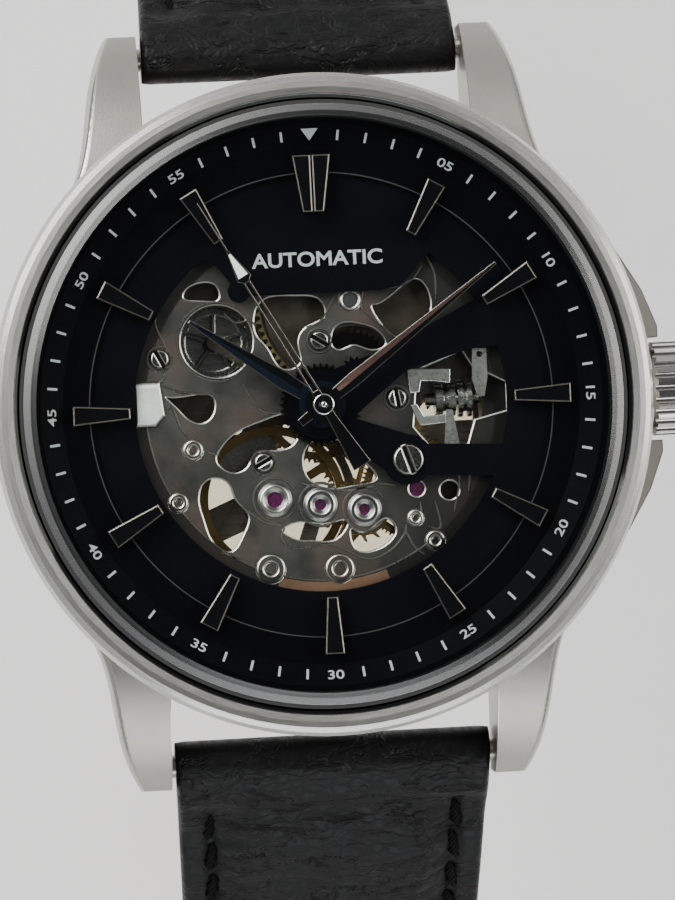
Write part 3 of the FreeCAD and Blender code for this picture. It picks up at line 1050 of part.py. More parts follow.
def make_strap(label, side, length, taper_over):
    """One half of the strap as a plain curved band with rounded ends, bored for its spring bar."""
    wide = size("strap_width")
    narrow = size("strap_end_width")
    thick = size("strap_thick")
    thin = size("strap_end_thick")
    sections = []
    stations = 9
    for number in range(stations):
        along = length * number / (stations - 1)
        part = min(1, along / taper_over)
        half = (wide + (narrow - wide) * part) / 2
        rise = (thick + (thin - thick) * min(1, along / 35)) / 2
        corners = [strap_point(side, along, rise, half), strap_point(side, along, rise, -half),
                   strap_point(side, along, -rise, -half), strap_point(side, along, -rise, half)]
        sections.append(Part.makePolygon(corners + corners[:1]))
    band = Part.makeLoft(sections, True, False)
    bar = V(-wide / 2, side * size("bar_y"), size("bar_z"))
    fold = Part.makeCylinder(thick / 2, wide, bar, V(1, 0, 0))
    hole = Part.makeCylinder(size("strap_hole"), wide + 2, bar - V(1, 0, 0), V(1, 0, 0))
    feature = doc.addObject("Part::Feature", label)
    feature.Shape = band.fuse(fold).cut(hole).removeSplitter()
    return feature


def placed_box(name, placement, wide, deep, tall):
    """A box centred on a placement in X and Y, and standing on it in Z."""
    box = doc.addObject("Part::Box", name)
    box.Length = wide
    box.Width = deep
    box.Height = tall
    box.Placement = placement.multiply(FreeCAD.Placement(V(-wide / 2, -deep / 2, 0), FreeCAD.Rotation()))
    return box


def make_keeper(label, along):
    """A leather loop round the upper strap, with room over it for the tail."""
    wall = size("keeper_wall")
    room = size("keeper_room")
    deep = size("keeper_width")
    wide = size("strap_end_width") + 1.6
    low = -size("strap_end_thick") / 2 - 0.5
    outer = placed_box(label + "_outer", strap_frame(1, along, low - wall), wide + 2 * wall, deep,
                       room + 2 * wall)
    inner = placed_box(label + "_inner", strap_frame(1, along, low), wide, deep + 2, room)
    keep(cut(label, outer, inner), label)


def make_straps():
    upper = make_strap("upper_blank", 1, size("upper_length"), size("upper_length"))
    end = strap_frame(1, size("upper_length"))
    pin_way = doc.addObject("Part::Cylinder", "buckle_pin_way")
    pin_way.Radius = 0.8
    pin_way.Height = 30
    pin_way.Placement = end.multiply(FreeCAD.Placement(V(-15, 0, 0), FreeCAD.Rotation(V(0, 1, 0), 90)))
    tongue_way = placed_box("tongue_way", strap_frame(1, size("upper_length"), -4), 3.0, 6.4, 8)
    end_fold = doc.addObject("Part::Cylinder", "upper_fold")
    end_fold.setExpression("Radius", "Sizes.strap_end_thick / 2 + 0.25")
    end_fold.setExpression("Height", "Sizes.strap_end_width")
    end_fold.Placement = end.multiply(FreeCAD.Placement(V(-size("strap_end_width") / 2, 0, 0),
                                                        FreeCAD.Rotation(V(0, 1, 0), 90)))
    keep(cut("upper_band", fuse("upper_with_fold", upper, end_fold), pin_way, tongue_way), "strap_upper")
    lower = make_strap("lower_blank", -1, size("lower_length"), size("upper_length"))
    holes = []
    for number in range(7):
        place = strap_frame(-1, size("lower_length") - 24 - 6.5 * number, -5)
        hole = doc.addObject("Part::Cylinder", f"strap_hole_{number}")
        hole.Radius = 0.95
        hole.Height = 10
        hole.Placement = place
        holes.append(hole)
    keep(cut("lower_band", lower, *holes), "strap_lower")


def make_buckle():
    """A wire frame with two ears on a pin, and a tongue on the same pin."""
    place = strap_frame(1, size("upper_length"))
    half = size("strap_end_width") / 2
    wire = size("buckle_wire")
    reach = size("buckle_length")
    bar = doc.addObject("Part::Cylinder", "buckle_bar")
    bar.Radius = 0.7
    bar.Height = 2 * half + 2 * wire + 1.2
    bar.Placement = place.multiply(FreeCAD.Placement(V(-half - wire - 0.6, 0, 0),
                                                     FreeCAD.Rotation(V(0, 1, 0), 90)))
    keep(bar, "buckle_bar")
    sides = []
    for number, sign in enumerate((1, -1)):
        offset = FreeCAD.Placement(V(sign * (half + 0.35 + wire), reach / 2 - 0.6, -wire), FreeCAD.Rotation())
        sides.append(placed_box(f"buckle_side_{number}", place.multiply(offset), 2 * wire, reach + 1.2,
                                2 * wire))
    offset = FreeCAD.Placement(V(0, reach, -wire), FreeCAD.Rotation())
    front = placed_box("buckle_front", place.multiply(offset), 2 * half + 0.7 + 4 * wire, 2 * wire, 2 * wire)
    way = doc.addObject("Part::Cylinder", "buckle_way")
    way.Radius = 0.73
    way.Height = 40
    way.Placement = place.multiply(FreeCAD.Placement(V(-20, 0, 0), FreeCAD.Rotation(V(0, 1, 0), 90)))
    keep(cut("buckle_frame", fuse("buckle_solid", front, *sides), way), "buckle_frame")
    blade_place = place.multiply(FreeCAD.Placement(V(0, reach / 2 + 0.5, wire + 0.05), FreeCAD.Rotation()))
    blade = placed_box("tongue_blade", blade_place, 1.6, reach + 0.4, 0.9)
    neck_place = place.multiply(FreeCAD.Placement(V(0, 0.9, -0.6), FreeCAD.Rotation()))
    neck = placed_box("tongue_neck", neck_place, 1.6, 1.6, 2.0)
    eye = doc.addObject("Part::Cylinder", "tongue_eye")
    eye.Radius = 1.35
    eye.Height = 1.6
    eye.Placement = place.multiply(FreeCAD.Placement(V(-0.8, 0, 0), FreeCAD.Rotation(V(0, 1, 0), 90)))
    bore = doc.addObject("Part::Cylinder", "tongue_bore")
    bore.Radius = 0.74
    bore.Height = 6
    bore.Placement = place.multiply(FreeCAD.Placement(V(-3, 0, 0), FreeCAD.Rotation(V(0, 1, 0), 90)))
    keep(cut("buckle_tongue", fuse("tongue_solid", blade, neck, eye), bore), "buckle_tongue")
    make_keeper("fixed_keeper", size("upper_length") - 8)
    make_keeper("free_keeper", size("upper_length") - 20)


# ---------------------------------------------------------------- build and save
def check_document():
    for obj in doc.Objects:
        if "Invalid" in obj.State or "Error" in obj.State:
            raise RuntimeError("feature failed: " + obj.Label)
    for node in NODES:
        shape = node.Shape
        if shape.isNull() or not shape.isValid() or not shape.Solids:
            raise RuntimeError("bad shape: " + node.Label)
        print(node.Label, "solids", len(shape.Solids), "volume", round(shape.Volume, 3))


make_mid_case()
make_case_fittings()
make_dial()
make_markers()
make_hands()
make_mainplate()
make_bridges()
make_jewels()
make_screws()
make_train()
make_escapement()
make_motion_works()
make_winding()
make_rotor()
make_straps()
make_buckle()
doc.recompute()
check_document()
os.makedirs("parts", exist_ok=True)
for node in NODES:
    node.Shape.exportStep(f"parts/{node.Label}.step")
print(len(NODES), "nodes")
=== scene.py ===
import math

import bmesh
import bpy
from mathutils import Matrix, Vector, noise


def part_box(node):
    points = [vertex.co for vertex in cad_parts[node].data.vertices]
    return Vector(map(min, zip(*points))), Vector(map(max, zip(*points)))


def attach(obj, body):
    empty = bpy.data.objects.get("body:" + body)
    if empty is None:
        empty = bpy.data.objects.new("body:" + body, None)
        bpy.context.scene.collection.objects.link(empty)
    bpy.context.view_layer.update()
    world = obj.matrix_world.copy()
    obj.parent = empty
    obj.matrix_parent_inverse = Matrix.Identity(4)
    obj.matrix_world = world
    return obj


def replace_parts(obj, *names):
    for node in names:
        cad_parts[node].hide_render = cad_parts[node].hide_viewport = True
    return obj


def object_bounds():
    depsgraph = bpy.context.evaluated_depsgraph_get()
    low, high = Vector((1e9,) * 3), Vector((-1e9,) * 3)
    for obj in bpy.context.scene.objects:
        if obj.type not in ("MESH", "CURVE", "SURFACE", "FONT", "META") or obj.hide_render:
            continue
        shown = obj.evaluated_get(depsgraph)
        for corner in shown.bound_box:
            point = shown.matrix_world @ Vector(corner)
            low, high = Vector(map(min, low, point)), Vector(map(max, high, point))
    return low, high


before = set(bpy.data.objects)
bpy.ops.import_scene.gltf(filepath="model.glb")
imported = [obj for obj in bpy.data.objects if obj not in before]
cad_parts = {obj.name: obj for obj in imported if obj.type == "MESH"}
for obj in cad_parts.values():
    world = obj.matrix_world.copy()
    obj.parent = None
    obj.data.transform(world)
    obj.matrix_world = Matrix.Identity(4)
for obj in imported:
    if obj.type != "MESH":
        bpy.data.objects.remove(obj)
CAD_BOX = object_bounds()
MM = 0.001

# ---------------------------------------------------------------- places read from the CAD
BARS_LOW, BARS_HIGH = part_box("spring_bars")
BAR_RADIUS = (BARS_HIGH.z - BARS_LOW.z) / 2
BAR_Y = BARS_HIGH.y - BAR_RADIUS
BAR_Z = (BARS_LOW.z + BARS_HIGH.z) / 2
DIAL_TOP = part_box("dial")[1].z
SECONDS_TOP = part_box("seconds_hand")[1].z

# The mainplate's upper face, and the radius in mm of the step round it.
PLATE_TOP = 6.9 * MM
PLATE_STEP = 11.2

# The strap's bend, as the CAD draws it.
BEND = 75 * MM
LEAD = math.radians(32)
BEND_Y = BAR_Y - BEND * math.sin(LEAD)
BEND_Z = BAR_Z - BEND * math.cos(LEAD)
UPPER_LENGTH = 70 * MM
LOWER_LENGTH = 110 * MM
STRAP_WIDTH = 20.4 * MM
STRAP_END_WIDTH = 16.4 * MM
STRAP_THICK = 3.2 * MM
STRAP_END_THICK = 2.3 * MM
THIN_BY = 35 * MM
TAPER_BY = 70 * MM
STITCH_IN = 2.0 * MM

# The buckle holes, the loops' distances from the buckle, and each stitch's length, width and height.
HOLES = 7
FIRST_HOLE = 24 * MM
HOLE_PITCH = 6.5 * MM
HOLE_RADIUS = 0.95 * MM
BAR_HOLE_RADIUS = 0.8 * MM
FIXED_LOOP = 8 * MM
SLIDING_LOOP = 20 * MM
FACE_STITCH = (2.6 * MM, 0.72 * MM, 0.5 * MM)
LINING_STITCH = (2.0 * MM, 0.42 * MM, 0.26 * MM)

# The padding under the strap's face: highest at the lugs, fading from PAD_FROM on.
PAD_SWELL = 0.75 * MM
PAD_BASE = 0.12 * MM
PAD_FROM = 12 * MM
PAD_FADE = 30 * MM

# The hands' clock angles, clockwise from 12.
HOUR_ANGLE = math.radians(304.5)
MINUTE_ANGLE = math.radians(53.4)
SECONDS_ANGLE = math.radians(330.5)
BLADE_TOP = 9.47 * MM

# The flange's slope, as radius and height pairs, that the minute track lies on.
FLANGE = ((14.7 * MM, 8.1 * MM), (16.5 * MM, 8.12 * MM), (17.9 * MM, 8.65 * MM), (18.2 * MM, 9.6 * MM))

# How far printing stands clear of the surface under it.
PRINT = 0.012 * MM


# ---------------------------------------------------------------- material helpers
def tint(colour, share):
    return tuple(min(1.0, c * share) for c in colour[:3]) + (1.0,)


def rgb(r, g, b):
    return (r, g, b, 1.0)


class Graph:
    """A material being built: its Principled shader and the nodes that feed it."""

    def __init__(self, name):
        self.material = bpy.data.materials.new(name)
        self.material.use_nodes = True
        self.tree = self.material.node_tree
        self.shader = self.tree.nodes["Principled BSDF"]

    def node(self, kind, inputs=None, **settings):
        made = self.tree.nodes.new("ShaderNode" + kind)
        for key, value in settings.items():
            setattr(made, key, value)
        for key, value in (inputs or {}).items():
            self.feed(made.inputs[key], value)
        return made

    def feed(self, socket, value):
        if isinstance(value, bpy.types.NodeSocket):
            self.tree.links.new(value, socket)
        else:
            socket.default_value = value

    def set(self, values):
        for key, value in values.items():
            self.feed(self.shader.inputs[key], value)

    def set_metal(self, colour, rough):
        self.set({"Base Color": colour, "Metallic": 1.0, "Roughness": rough})

    def math(self, operation, a, b=0.5):
        return self.node("Math", {0: a, 1: b}, operation=operation).outputs[0]

    def times(self, a, b):
        return self.math("MULTIPLY", a, b)

    def sum(self, *terms):
        """The sum of sockets, each with its weight."""
        total = None
        for socket, weight in terms:
            part = self.times(socket, weight)
            total = part if total is None else self.math("ADD", total, part)
        return total

    def span(self, value, low, high, start=0.3, end=0.7):
        """A value from start to end drawn out to low to high, and held there outside."""
        made = self.node("MapRange", {"Value": value, "From Min": start, "From Max": end,
                                      "To Min": low, "To Max": high})
        return made.outputs["Result"]

    def blend(self, mask, a, b):
        """Colour a where the mask is 0, and colour b where it is 1."""
        made = self.node("Mix", data_type="RGBA")
        self.feed(made.inputs[0], mask)
        self.feed(made.inputs[6], a)
        self.feed(made.inputs[7], b)
        return made.outputs[2]

    def shades(self, value, colour, dark, light, start=0.3, end=0.7):
        """A colour times dark to light, as the value goes from start to end."""
        return self.blend(self.span(value, 0, 1, start, end), tint(colour, dark), tint(colour, light))

    def patches(self, value, share, under, over):
        """One colour, with up to a share of another laid over it in patches."""
        return self.blend(self.times(self.span(value, 0, 1), share), under, over)

    def split(self, vector):
        """A vector's X, Y and Z."""
        return self.node("SeparateXYZ", {0: vector}).outputs[:3]

    def scaled(self, vector, scale):
        return self.node("Mapping", {"Vector": vector, "Scale": scale}).outputs["Vector"]

    def where(self, stretch=(1, 1, 1), turn=0.0):
        """Coordinates in millimetres, stretched along each axis."""
        place = self.node("TexCoord").outputs["Object"]
        scale = tuple(1000 * s for s in stretch)
        mapping = self.node("Mapping", {"Vector": place, "Scale": scale, "Rotation": (0, 0, turn)})
        return mapping.outputs["Vector"]

    def normal(self):
        """The surface's own direction, as X, Y and Z."""
        return self.split(self.node("TexCoord").outputs["Normal"])

    def radius(self, where=None):
        """Distance from the Z axis in millimetres."""
        x, y, _ = self.split(where or self.where())
        flat = self.node("CombineXYZ", {0: x, 1: y}).outputs[0]
        return self.node("VectorMath", {0: flat}, operation="LENGTH").outputs["Value"]

    def round_axis(self):
        """Coordinates round the Z axis, X outwards, Y the turn in radians and Z up, and then X alone."""
        x, y, z = self.split(self.where())
        radius = self.radius()
        angle = self.math("ARCTAN2", y, x)
        return self.node("CombineXYZ", {0: radius, 1: angle, 2: z}).outputs[0], radius

    def noise(self, size, detail=4.0, rough=0.55, where=None):
        """Noise whose features are about size millimetres."""
        made = self.node("TexNoise", {"Vector": where or self.where(), "Scale": 1 / size, "Detail": detail,
                                      "Roughness": rough})
        return made.outputs["Fac"]

    def cells(self, where, size):
        """How far a point is from the edges of cells about size millimetres across."""
        made = self.node("TexVoronoi", {"Vector": where, "Scale": 1 / size}, feature="DISTANCE_TO_EDGE")
        return made.outputs["Distance"]

    def bumped(self, height, depth):
        """The finished material, with bumps depth millimetres deep."""
        made = self.node("Bump", {"Height": height, "Distance": depth * MM})
        self.feed(self.shader.inputs["Normal"], made.outputs["Normal"])
        return self.material

    def edges(self, radius):
        """1 along worn edges, within about radius millimetres, and 0 elsewhere."""
        soft = self.node("Bevel", {"Radius": radius * MM}, samples=4).outputs["Normal"]
        hard = self.node("NewGeometry").outputs["Normal"]
        same = self.node("VectorMath", {0: soft, 1: hard}, operation="DOT_PRODUCT").outputs["Value"]
        return self.span(same, 1.0, 0.0, 0.9, 0.995)

    def wear(self, width, colour, base, rough, mean_rough, share):
        """A finish's colour and roughness, brighter and smoother along its edges."""
        if not width:
            return base, rough
        edge = self.edges(width)
        base = self.blend(self.times(edge, 0.8), base, tint(colour, 1.25))
        polished = 0.1
        return base, self.sum((rough, 1.0), (self.times(edge, mean_rough - polished), -share))


def metal(name, colour, rough, grain=0.1, size=0.12, stretch=(1, 1, 1), depth=0.004, worn=0.0):
    """Metal with a fine grain, cloudy handling marks and, where worn is set, bright edges."""
    graph = Graph(name)
    fine = graph.noise(size, 6.0, 0.7, graph.where(stretch))
    cloud = graph.noise(3.5, 3.0)
    base = graph.shades(cloud, colour, 0.86, 1.06)
    base = graph.blend(0.45, base, graph.shades(fine, colour, 0.9, 1.1, 0.35, 0.65))
    rough_now = graph.sum((graph.span(fine, rough - grain / 2, rough + grain / 2), 0.7),
                          (graph.span(cloud, rough - grain, rough + grain), 0.3))
    graph.set_metal(*graph.wear(worn, colour, base, rough_now, rough, 0.8))
    return graph.bumped(fine, depth)


def turned_metal(name, colour, rough, line=0.06, worn=0.0):
    """Metal turned or brushed in circles round the watch's axis."""
    graph = Graph(name)
    lines = graph.noise(line, 5.0, 0.65, graph.round_axis()[0])
    cloud = graph.noise(4.0, 3.0)
    base = graph.patches(cloud, 0.35, graph.shades(lines, colour, 0.88, 1.08), tint(colour, 0.9))
    rough_now = graph.span(lines, rough - 0.07, rough + 0.07)
    graph.set_metal(*graph.wear(worn, colour, base, rough_now, rough, 0.85))
    return graph.bumped(lines, 0.006)


def striped_metal(name, colour, rough, pitch=1.9, turn=0.0):
    """Plates finished in broad parallel stripes, each with its own fine brushing."""
    graph = Graph(name)
    wave = graph.node("TexWave", {"Vector": graph.where(turn=turn), "Scale": 0.5 / pitch, "Distortion": 0.0},
                      wave_type="BANDS", wave_profile="SAW").outputs["Fac"]
    brushed = graph.noise(0.5, 5.0, 0.6, graph.where((0.25, 6, 6), turn))
    cloud = graph.noise(3.0, 3.0)
    stripes = graph.shades(wave, colour, 0.8, 1.12, 0.0, 1.0)
    graph.set_metal(graph.patches(cloud, 0.3, stripes, tint(colour, 0.85)),
                    graph.span(brushed, rough - 0.06, rough + 0.08))
    return graph.bumped(graph.sum((wave, 0.8), (brushed, 0.25)), 0.02)


def plate_metal(name, colour, step):
    """The mainplate: fine blasted grain, with painted shade towards the crown side and past the step, and
    darker down its sides.
    """
    graph = Graph(name)
    fine = graph.noise(0.11, 6.0, 0.7)
    cloud = graph.noise(2.6, 4.0)
    rosy = graph.noise(5.0, 3.0)
    radius = graph.radius()
    shade = graph.patches(fine, 0.45, graph.shades(cloud, colour, 0.55, 1.5), tint(colour, 0.55))
    rose = rgb(colour[0] * 1.5, colour[1], colour[2] * 0.85)
    shade = graph.blend(graph.span(rosy, 0, 0.55, 0.48, 0.66), shade, rose)
    # Painted shade: the colour darkens towards the crown side and past the step's radius.
    crown_side_shade = graph.span(graph.split(graph.where())[0], 0, 0.8, 2.5, 6.0)
    shade = graph.blend(crown_side_shade, shade, tint(colour, 0.3))
    shade = graph.blend(graph.span(radius, 0, 0.75, step - 0.03, step + 0.03), shade, tint(colour, 0.25))
    sides = graph.span(graph.normal()[2], 0.8, 0, 0.3, 0.7)
    graph.set_metal(graph.blend(sides, shade, rgb(0.07, 0.052, 0.026)), graph.span(fine, 0.38, 0.56))
    return graph.bumped(graph.sum((fine, 0.8), (cloud, 0.4)), 0.016)


def rimmed_metal(name, colour, rim_colour, centre, rim):
    """A wheel with its teeth and rim in one finish and its middle in another."""
    graph = Graph(name)
    fine = graph.noise(0.1, 6.0, 0.7)
    cloud = graph.noise(1.8, 4.0)
    place = graph.node("VectorMath", {0: graph.where(), 1: (centre[0] / MM, centre[1] / MM, 0)},
                       operation="SUBTRACT").outputs[0]
    outside = graph.span(graph.radius(place), 0, 1, rim - 0.04, rim + 0.04)
    base = graph.blend(outside, graph.shades(cloud, colour, 0.65, 1.3),
                       graph.shades(fine, rim_colour, 0.8, 1.15))
    graph.set_metal(base, graph.sum((graph.span(fine, 0.24, 0.4), 1.0),
                                    (graph.span(outside, 0.12, 0.0, 0, 1), 1.0)))
    return graph.bumped(fine, 0.008)


def screw_metal(name, colour, floors):
    """Polished screw heads whose slots, with floors at these heights in mm, are painted near black as
    painted shade.
    """
    graph = Graph(name)
    fine = graph.noise(0.2, 5.0, 0.6)
    height = graph.split(graph.where())[2]
    slot_shade = None
    for floor in floors:
        away = graph.math("ABSOLUTE", graph.math("SUBTRACT", height, floor))
        here = graph.span(away, 1, 0, 0.02, 0.04)
        slot_shade = here if slot_shade is None else graph.math("MAXIMUM", slot_shade, here)
    # Painted shade: the slots' floors are painted near black.
    graph.set_metal(graph.blend(slot_shade, graph.shades(fine, colour, 0.8, 1.15), rgb(0.012, 0.011, 0.01)),
                    graph.sum((graph.span(fine, 0.2, 0.32), 1.0), (slot_shade, 0.3)))
    return graph.bumped(fine, 0.003)


def coated(name, colour, rough, size=0.1, depth=0.003, fleck=1.3, metallic=0.0, specular=0.5):
    """Lacquer, plastic or rubber: a coloured coat with a fine texture."""
    graph = Graph(name)
    fine = graph.noise(size, 5.0, 0.7)
    cloud = graph.noise(5.0, 2.0)
    base = graph.patches(cloud, 0.4, graph.shades(fine, colour, 0.85, fleck), tint(colour, 0.8))
    graph.set({"Base Color": base, "Metallic": metallic, "Specular IOR Level": specular,
               "Roughness": graph.span(fine, rough - 0.05, rough + 0.05)})
    return graph.bumped(fine, depth)


def clear(name, mirror, tone=(0.98, 1.0, 0.99), rim=None):
    """Coated sapphire that mirrors a little, more at a slant, with a hazy ring outside the rim radius."""
    graph = Graph(name)
    tree = graph.tree
    facing = graph.node("LayerWeight", {"Blend": 0.35}).outputs["Facing"]
    smudge = graph.noise(6.0, 3.0)
    share = graph.sum((graph.math("POWER", facing, 4.0), 0.45),
                      (graph.span(smudge, mirror * 0.8, mirror * 1.2), 1.0))
    rough = graph.span(smudge, 0.01, 0.035)
    through = graph.node("BsdfTransparent", {"Color": tone + (1.0,)})
    if rim:
        radius = graph.radius()
        ring = graph.span(radius, 0, 1, rim - 0.02, rim + 0.02)
        tree.links.new(graph.blend(ring, tone + (1.0,), rgb(0.72, 0.8, 0.76)), through.inputs["Color"])
        haze = graph.span(radius, 0, 1, rim + 0.34, rim + 0.4)
        share = graph.sum((graph.times(share, graph.span(ring, 1.0, 0.1, 0, 1)), 1.0),
                          (ring, 0.05), (haze, 0.1))
        rough = graph.sum((rough, 1.0), (ring, 0.3), (haze, 0.15))
    gloss = graph.node("BsdfGlossy", {"Color": rgb(1, 1, 1), "Roughness": rough})
    mix = graph.node("MixShader", {0: share, 1: through.outputs[0], 2: gloss.outputs[0]})
    tree.links.new(mix.outputs[0], tree.nodes["Material Output"].inputs["Surface"])
    tree.nodes.remove(graph.shader)
    return graph.material


def gem(name, colour, deep):
    """Synthetic ruby, polished, with a darker heart and a clear gloss."""
    graph = Graph(name)
    cloud = graph.noise(0.5, 3.0)
    graph.set({"Base Color": graph.blend(graph.span(cloud, 0, 1), colour, deep),
               "Roughness": graph.span(cloud, 0.03, 0.12), "Specular IOR Level": 0.8,
               "Coat Weight": 0.6, "Coat Roughness": 0.03, "IOR": 1.77})
    return graph.bumped(cloud, 0.002)


def leather(name, colour, gloss, rough, pebble, depth, crease):
    """Grained calf leather on UVs in tenths of a metre: pebbles, pores and creases running across, with
    painted shade darkening the grooves.
    """
    graph = Graph(name)
    flat = graph.scaled(graph.node("TexCoord").outputs["UV"], (100, 100, 1))
    sway = graph.node("TexNoise", {"Vector": flat, "Scale": 0.45, "Detail": 3.0}).outputs["Color"]
    shift = graph.node("VectorMath", {0: sway, "Scale": 1.6}, operation="SCALE").outputs[0]
    warped = graph.node("VectorMath", {0: flat, 1: shift}, operation="ADD").outputs[0]
    grain = graph.scaled(warped, (0.8, 1.15, 1))
    pebbles = graph.span(graph.cells(grain, pebble), 0, 1, 0.0, 0.22)
    small = graph.span(graph.cells(grain, pebble * 0.42), 0, 1, 0.0, 0.25)
    pores = graph.noise(0.16, 4.0, 0.7, flat)
    across = graph.scaled(warped, (0.2, 1.0, 1))
    lines = graph.node("TexNoise", {"Vector": across, "Scale": 0.7, "Detail": 4.0, "Roughness": 0.55,
                                    "Distortion": 0.6}).outputs["Fac"]
    creases = graph.span(graph.math("ABSOLUTE", graph.math("SUBTRACT", lines, 0.5)), 0, 1, 0.0, 0.026)
    height = graph.sum((pebbles, 0.16), (small, 0.06), (pores, 0.05), (creases, 0.5 * crease))
    mottled = graph.noise(5.0, where=flat)
    # Painted shade: the colour is darker in the creases and between the pebbles, under a random mottle.
    shade = graph.sum((pebbles, 0.3), (creases, 0.45), (mottled, 0.6))
    graph.set({"Base Color": graph.shades(shade, colour, 0.45, 1.5, 0.3, 1.2),
               "Roughness": graph.sum((graph.span(pebbles, rough + 0.14, rough - 0.04, 0, 1), 0.7),
                                      (graph.span(mottled, rough - 0.05, rough + 0.12), 0.3)),
               "Specular IOR Level": gloss})
    return graph.bumped(height, depth)


def thread(name, colour, rough, gloss):
    """Twisted waxed thread."""
    graph = Graph(name)
    twist = graph.node("TexWave", {"Vector": graph.where(turn=0.7), "Scale": 1.4, "Distortion": 1.2,
                                   "Detail": 2.0}, wave_type="BANDS").outputs["Fac"]
    fuzz = graph.noise(0.09, 4.0)
    graph.set({"Base Color": graph.shades(twist, colour, 0.55, 1.3, 0.1, 0.9),
               "Roughness": graph.span(fuzz, rough - 0.1, rough + 0.1), "Specular IOR Level": gloss})
    return graph.bumped(graph.sum((twist, 0.7), (fuzz, 0.3)), 0.07)


def case_metal(name, colour):
    """The case: satin faces, and mirror bevels along the lugs' and crown guards' edges."""
    graph = Graph(name)
    fine = graph.noise(0.1, 6.0, 0.7)
    brushed = graph.noise(0.5, 5.0, 0.6, graph.where((5, 0.6, 5)))
    cloud = graph.noise(5.0, 4.0)
    sideways, _, upwards = graph.normal()
    slant = graph.math("ABSOLUTE", sideways)
    tilted = graph.times(graph.span(upwards, 0, 1, 0.08, 0.2), graph.span(slant, 0, 1, 0.22, 0.34))
    bevel = graph.times(tilted, graph.span(slant, 1, 0, 0.93, 0.98))
    polish = graph.math("MAXIMUM", bevel, graph.edges(0.14))
    base = graph.patches(fine, 0.35, graph.shades(cloud, colour, 0.9, 1.06), tint(colour, 1.12))
    satin = graph.sum((graph.span(fine, 0.34, 0.48), 0.6), (graph.span(brushed, 0.34, 0.46), 0.4))
    graph.set_metal(graph.blend(graph.times(polish, 0.8), base, tint(colour, 1.2)),
                    graph.sum((satin, 1.0), (graph.times(polish, 0.28), -1.0)))
    height = graph.times(graph.sum((fine, 0.6), (brushed, 0.5)), graph.span(polish, 1, 0.05, 0, 1))
    return graph.bumped(height, 0.014)


def bezel_metal(name, colour):
    """The bezel: a satin top band between a polished outer edge and a polished inner slope, whose colour is
    darkened to near black as painted shade.
    """
    graph = Graph(name)
    where, radius = graph.round_axis()
    lines = graph.noise(0.07, 5.0, 0.65, where)
    cloud = graph.noise(5.0, 4.0)
    fine = graph.noise(0.1, 6.0, 0.7)
    inner = graph.span(radius, 1, 0, 19.56, 19.66)
    outer = graph.span(radius, 0, 1, 20.42, 20.5)
    polish = graph.math("MAXIMUM", inner, graph.times(outer, 0.2))
    base = graph.patches(cloud, 0.3, graph.shades(lines, colour, 0.9, 1.06), tint(colour, 0.9))
    satin = graph.sum((graph.span(lines, 0.26, 0.4), 0.6), (graph.span(fine, 0.28, 0.4), 0.4))
    # Painted shade: the polished inner slope's steel colour is darkened to near black.
    graph.set_metal(graph.blend(inner, base, tint(colour, 0.035)),
                    graph.sum((satin, 1.0), (graph.times(polish, 0.25), -1.0)))
    height = graph.times(graph.sum((lines, 0.6), (fine, 0.5)), graph.span(polish, 1, 0.05, 0, 1))
    return graph.bumped(height, 0.007)


def middle_of(node):
    """The middle of a node's box, seen from above."""
    low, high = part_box(node)
    return (low.x + high.x) / 2, (low.y + high.y) / 2


# ---------------------------------------------------------------- materials
STEEL = (0.4, 0.386, 0.35)
BARREL_CENTRE = middle_of("barrel_drum")
BUCKLE_STEEL = metal("buckle_steel", (0.64, 0.63, 0.6), 0.18, size=0.4, stretch=(1, 4, 4), worn=0.12)
MIRROR_STEEL = metal("mirror_steel", (0.74, 0.74, 0.73), 0.09, grain=0.05, size=0.3, depth=0.001)
BRIGHT_STEEL = metal("bright_steel", (0.72, 0.71, 0.68), 0.3, grain=0.12, size=0.25, depth=0.003)
WHITE_STEEL = metal("white_steel", (0.9, 0.9, 0.89), 0.55, grain=0.12, size=0.4, depth=0.003)
DARK_STEEL = metal("dark_steel", (0.05, 0.05, 0.052), 0.22, grain=0.05, size=0.2, depth=0.001)
TRIM_STEEL = metal("trim_steel", (0.42, 0.4, 0.37), 0.3, size=0.2, depth=0.001)
DULL_TRIM = metal("dull_trim", (0.13, 0.115, 0.1), 0.34, size=0.3, depth=0.001)
# A rose-brown metal for one minute-hand facet: a painted reflection.
HAND_ROSE_REFLECTION = metal("hand_rose_reflection", (0.15, 0.085, 0.075), 0.34, size=0.3, depth=0.001)
COPPER = metal("copper_rim", (0.5, 0.29, 0.19), 0.35, size=0.2)
GLOSS_BLACK = coated("gloss_black", (0.0022, 0.0022, 0.003), 0.16, size=0.3, depth=0.001, specular=0.3)
HAND_BLUE = coated("hand_blue_black", (0.006, 0.01, 0.017), 0.2, size=0.3, depth=0.001, metallic=0.2,
                   specular=0.2)
WHITE_PRINT = coated("white_print", (0.4, 0.41, 0.43), 0.55, size=0.08, depth=0.004, fleck=1.05)
GREY_PRINT = coated("grey_print", (0.02, 0.021, 0.023), 0.5, size=0.08, depth=0.004, fleck=1.1)
LUME = coated("lume", (0.86, 0.88, 0.84), 0.6, depth=0.006, fleck=1.04)
EDGE_PAINT = coated("edge_paint", (0.012, 0.012, 0.013), 0.4, size=0.3, depth=0.02)
BLACK_LEATHER = leather("black_leather", (0.003, 0.0032, 0.0036), 0.18, 0.42, pebble=0.8, depth=0.14,
                        crease=1.4)
TAN_LINING = leather("tan_lining", (0.4, 0.2, 0.092), 0.3, 0.6, pebble=0.5, depth=0.05, crease=0.35)
BLACK_THREAD = thread("black_thread", (0.0012, 0.0012, 0.0014), 0.6, 0.08)
CREAM_THREAD = thread("cream_thread", (0.55, 0.45, 0.3), 0.7, 0.3)

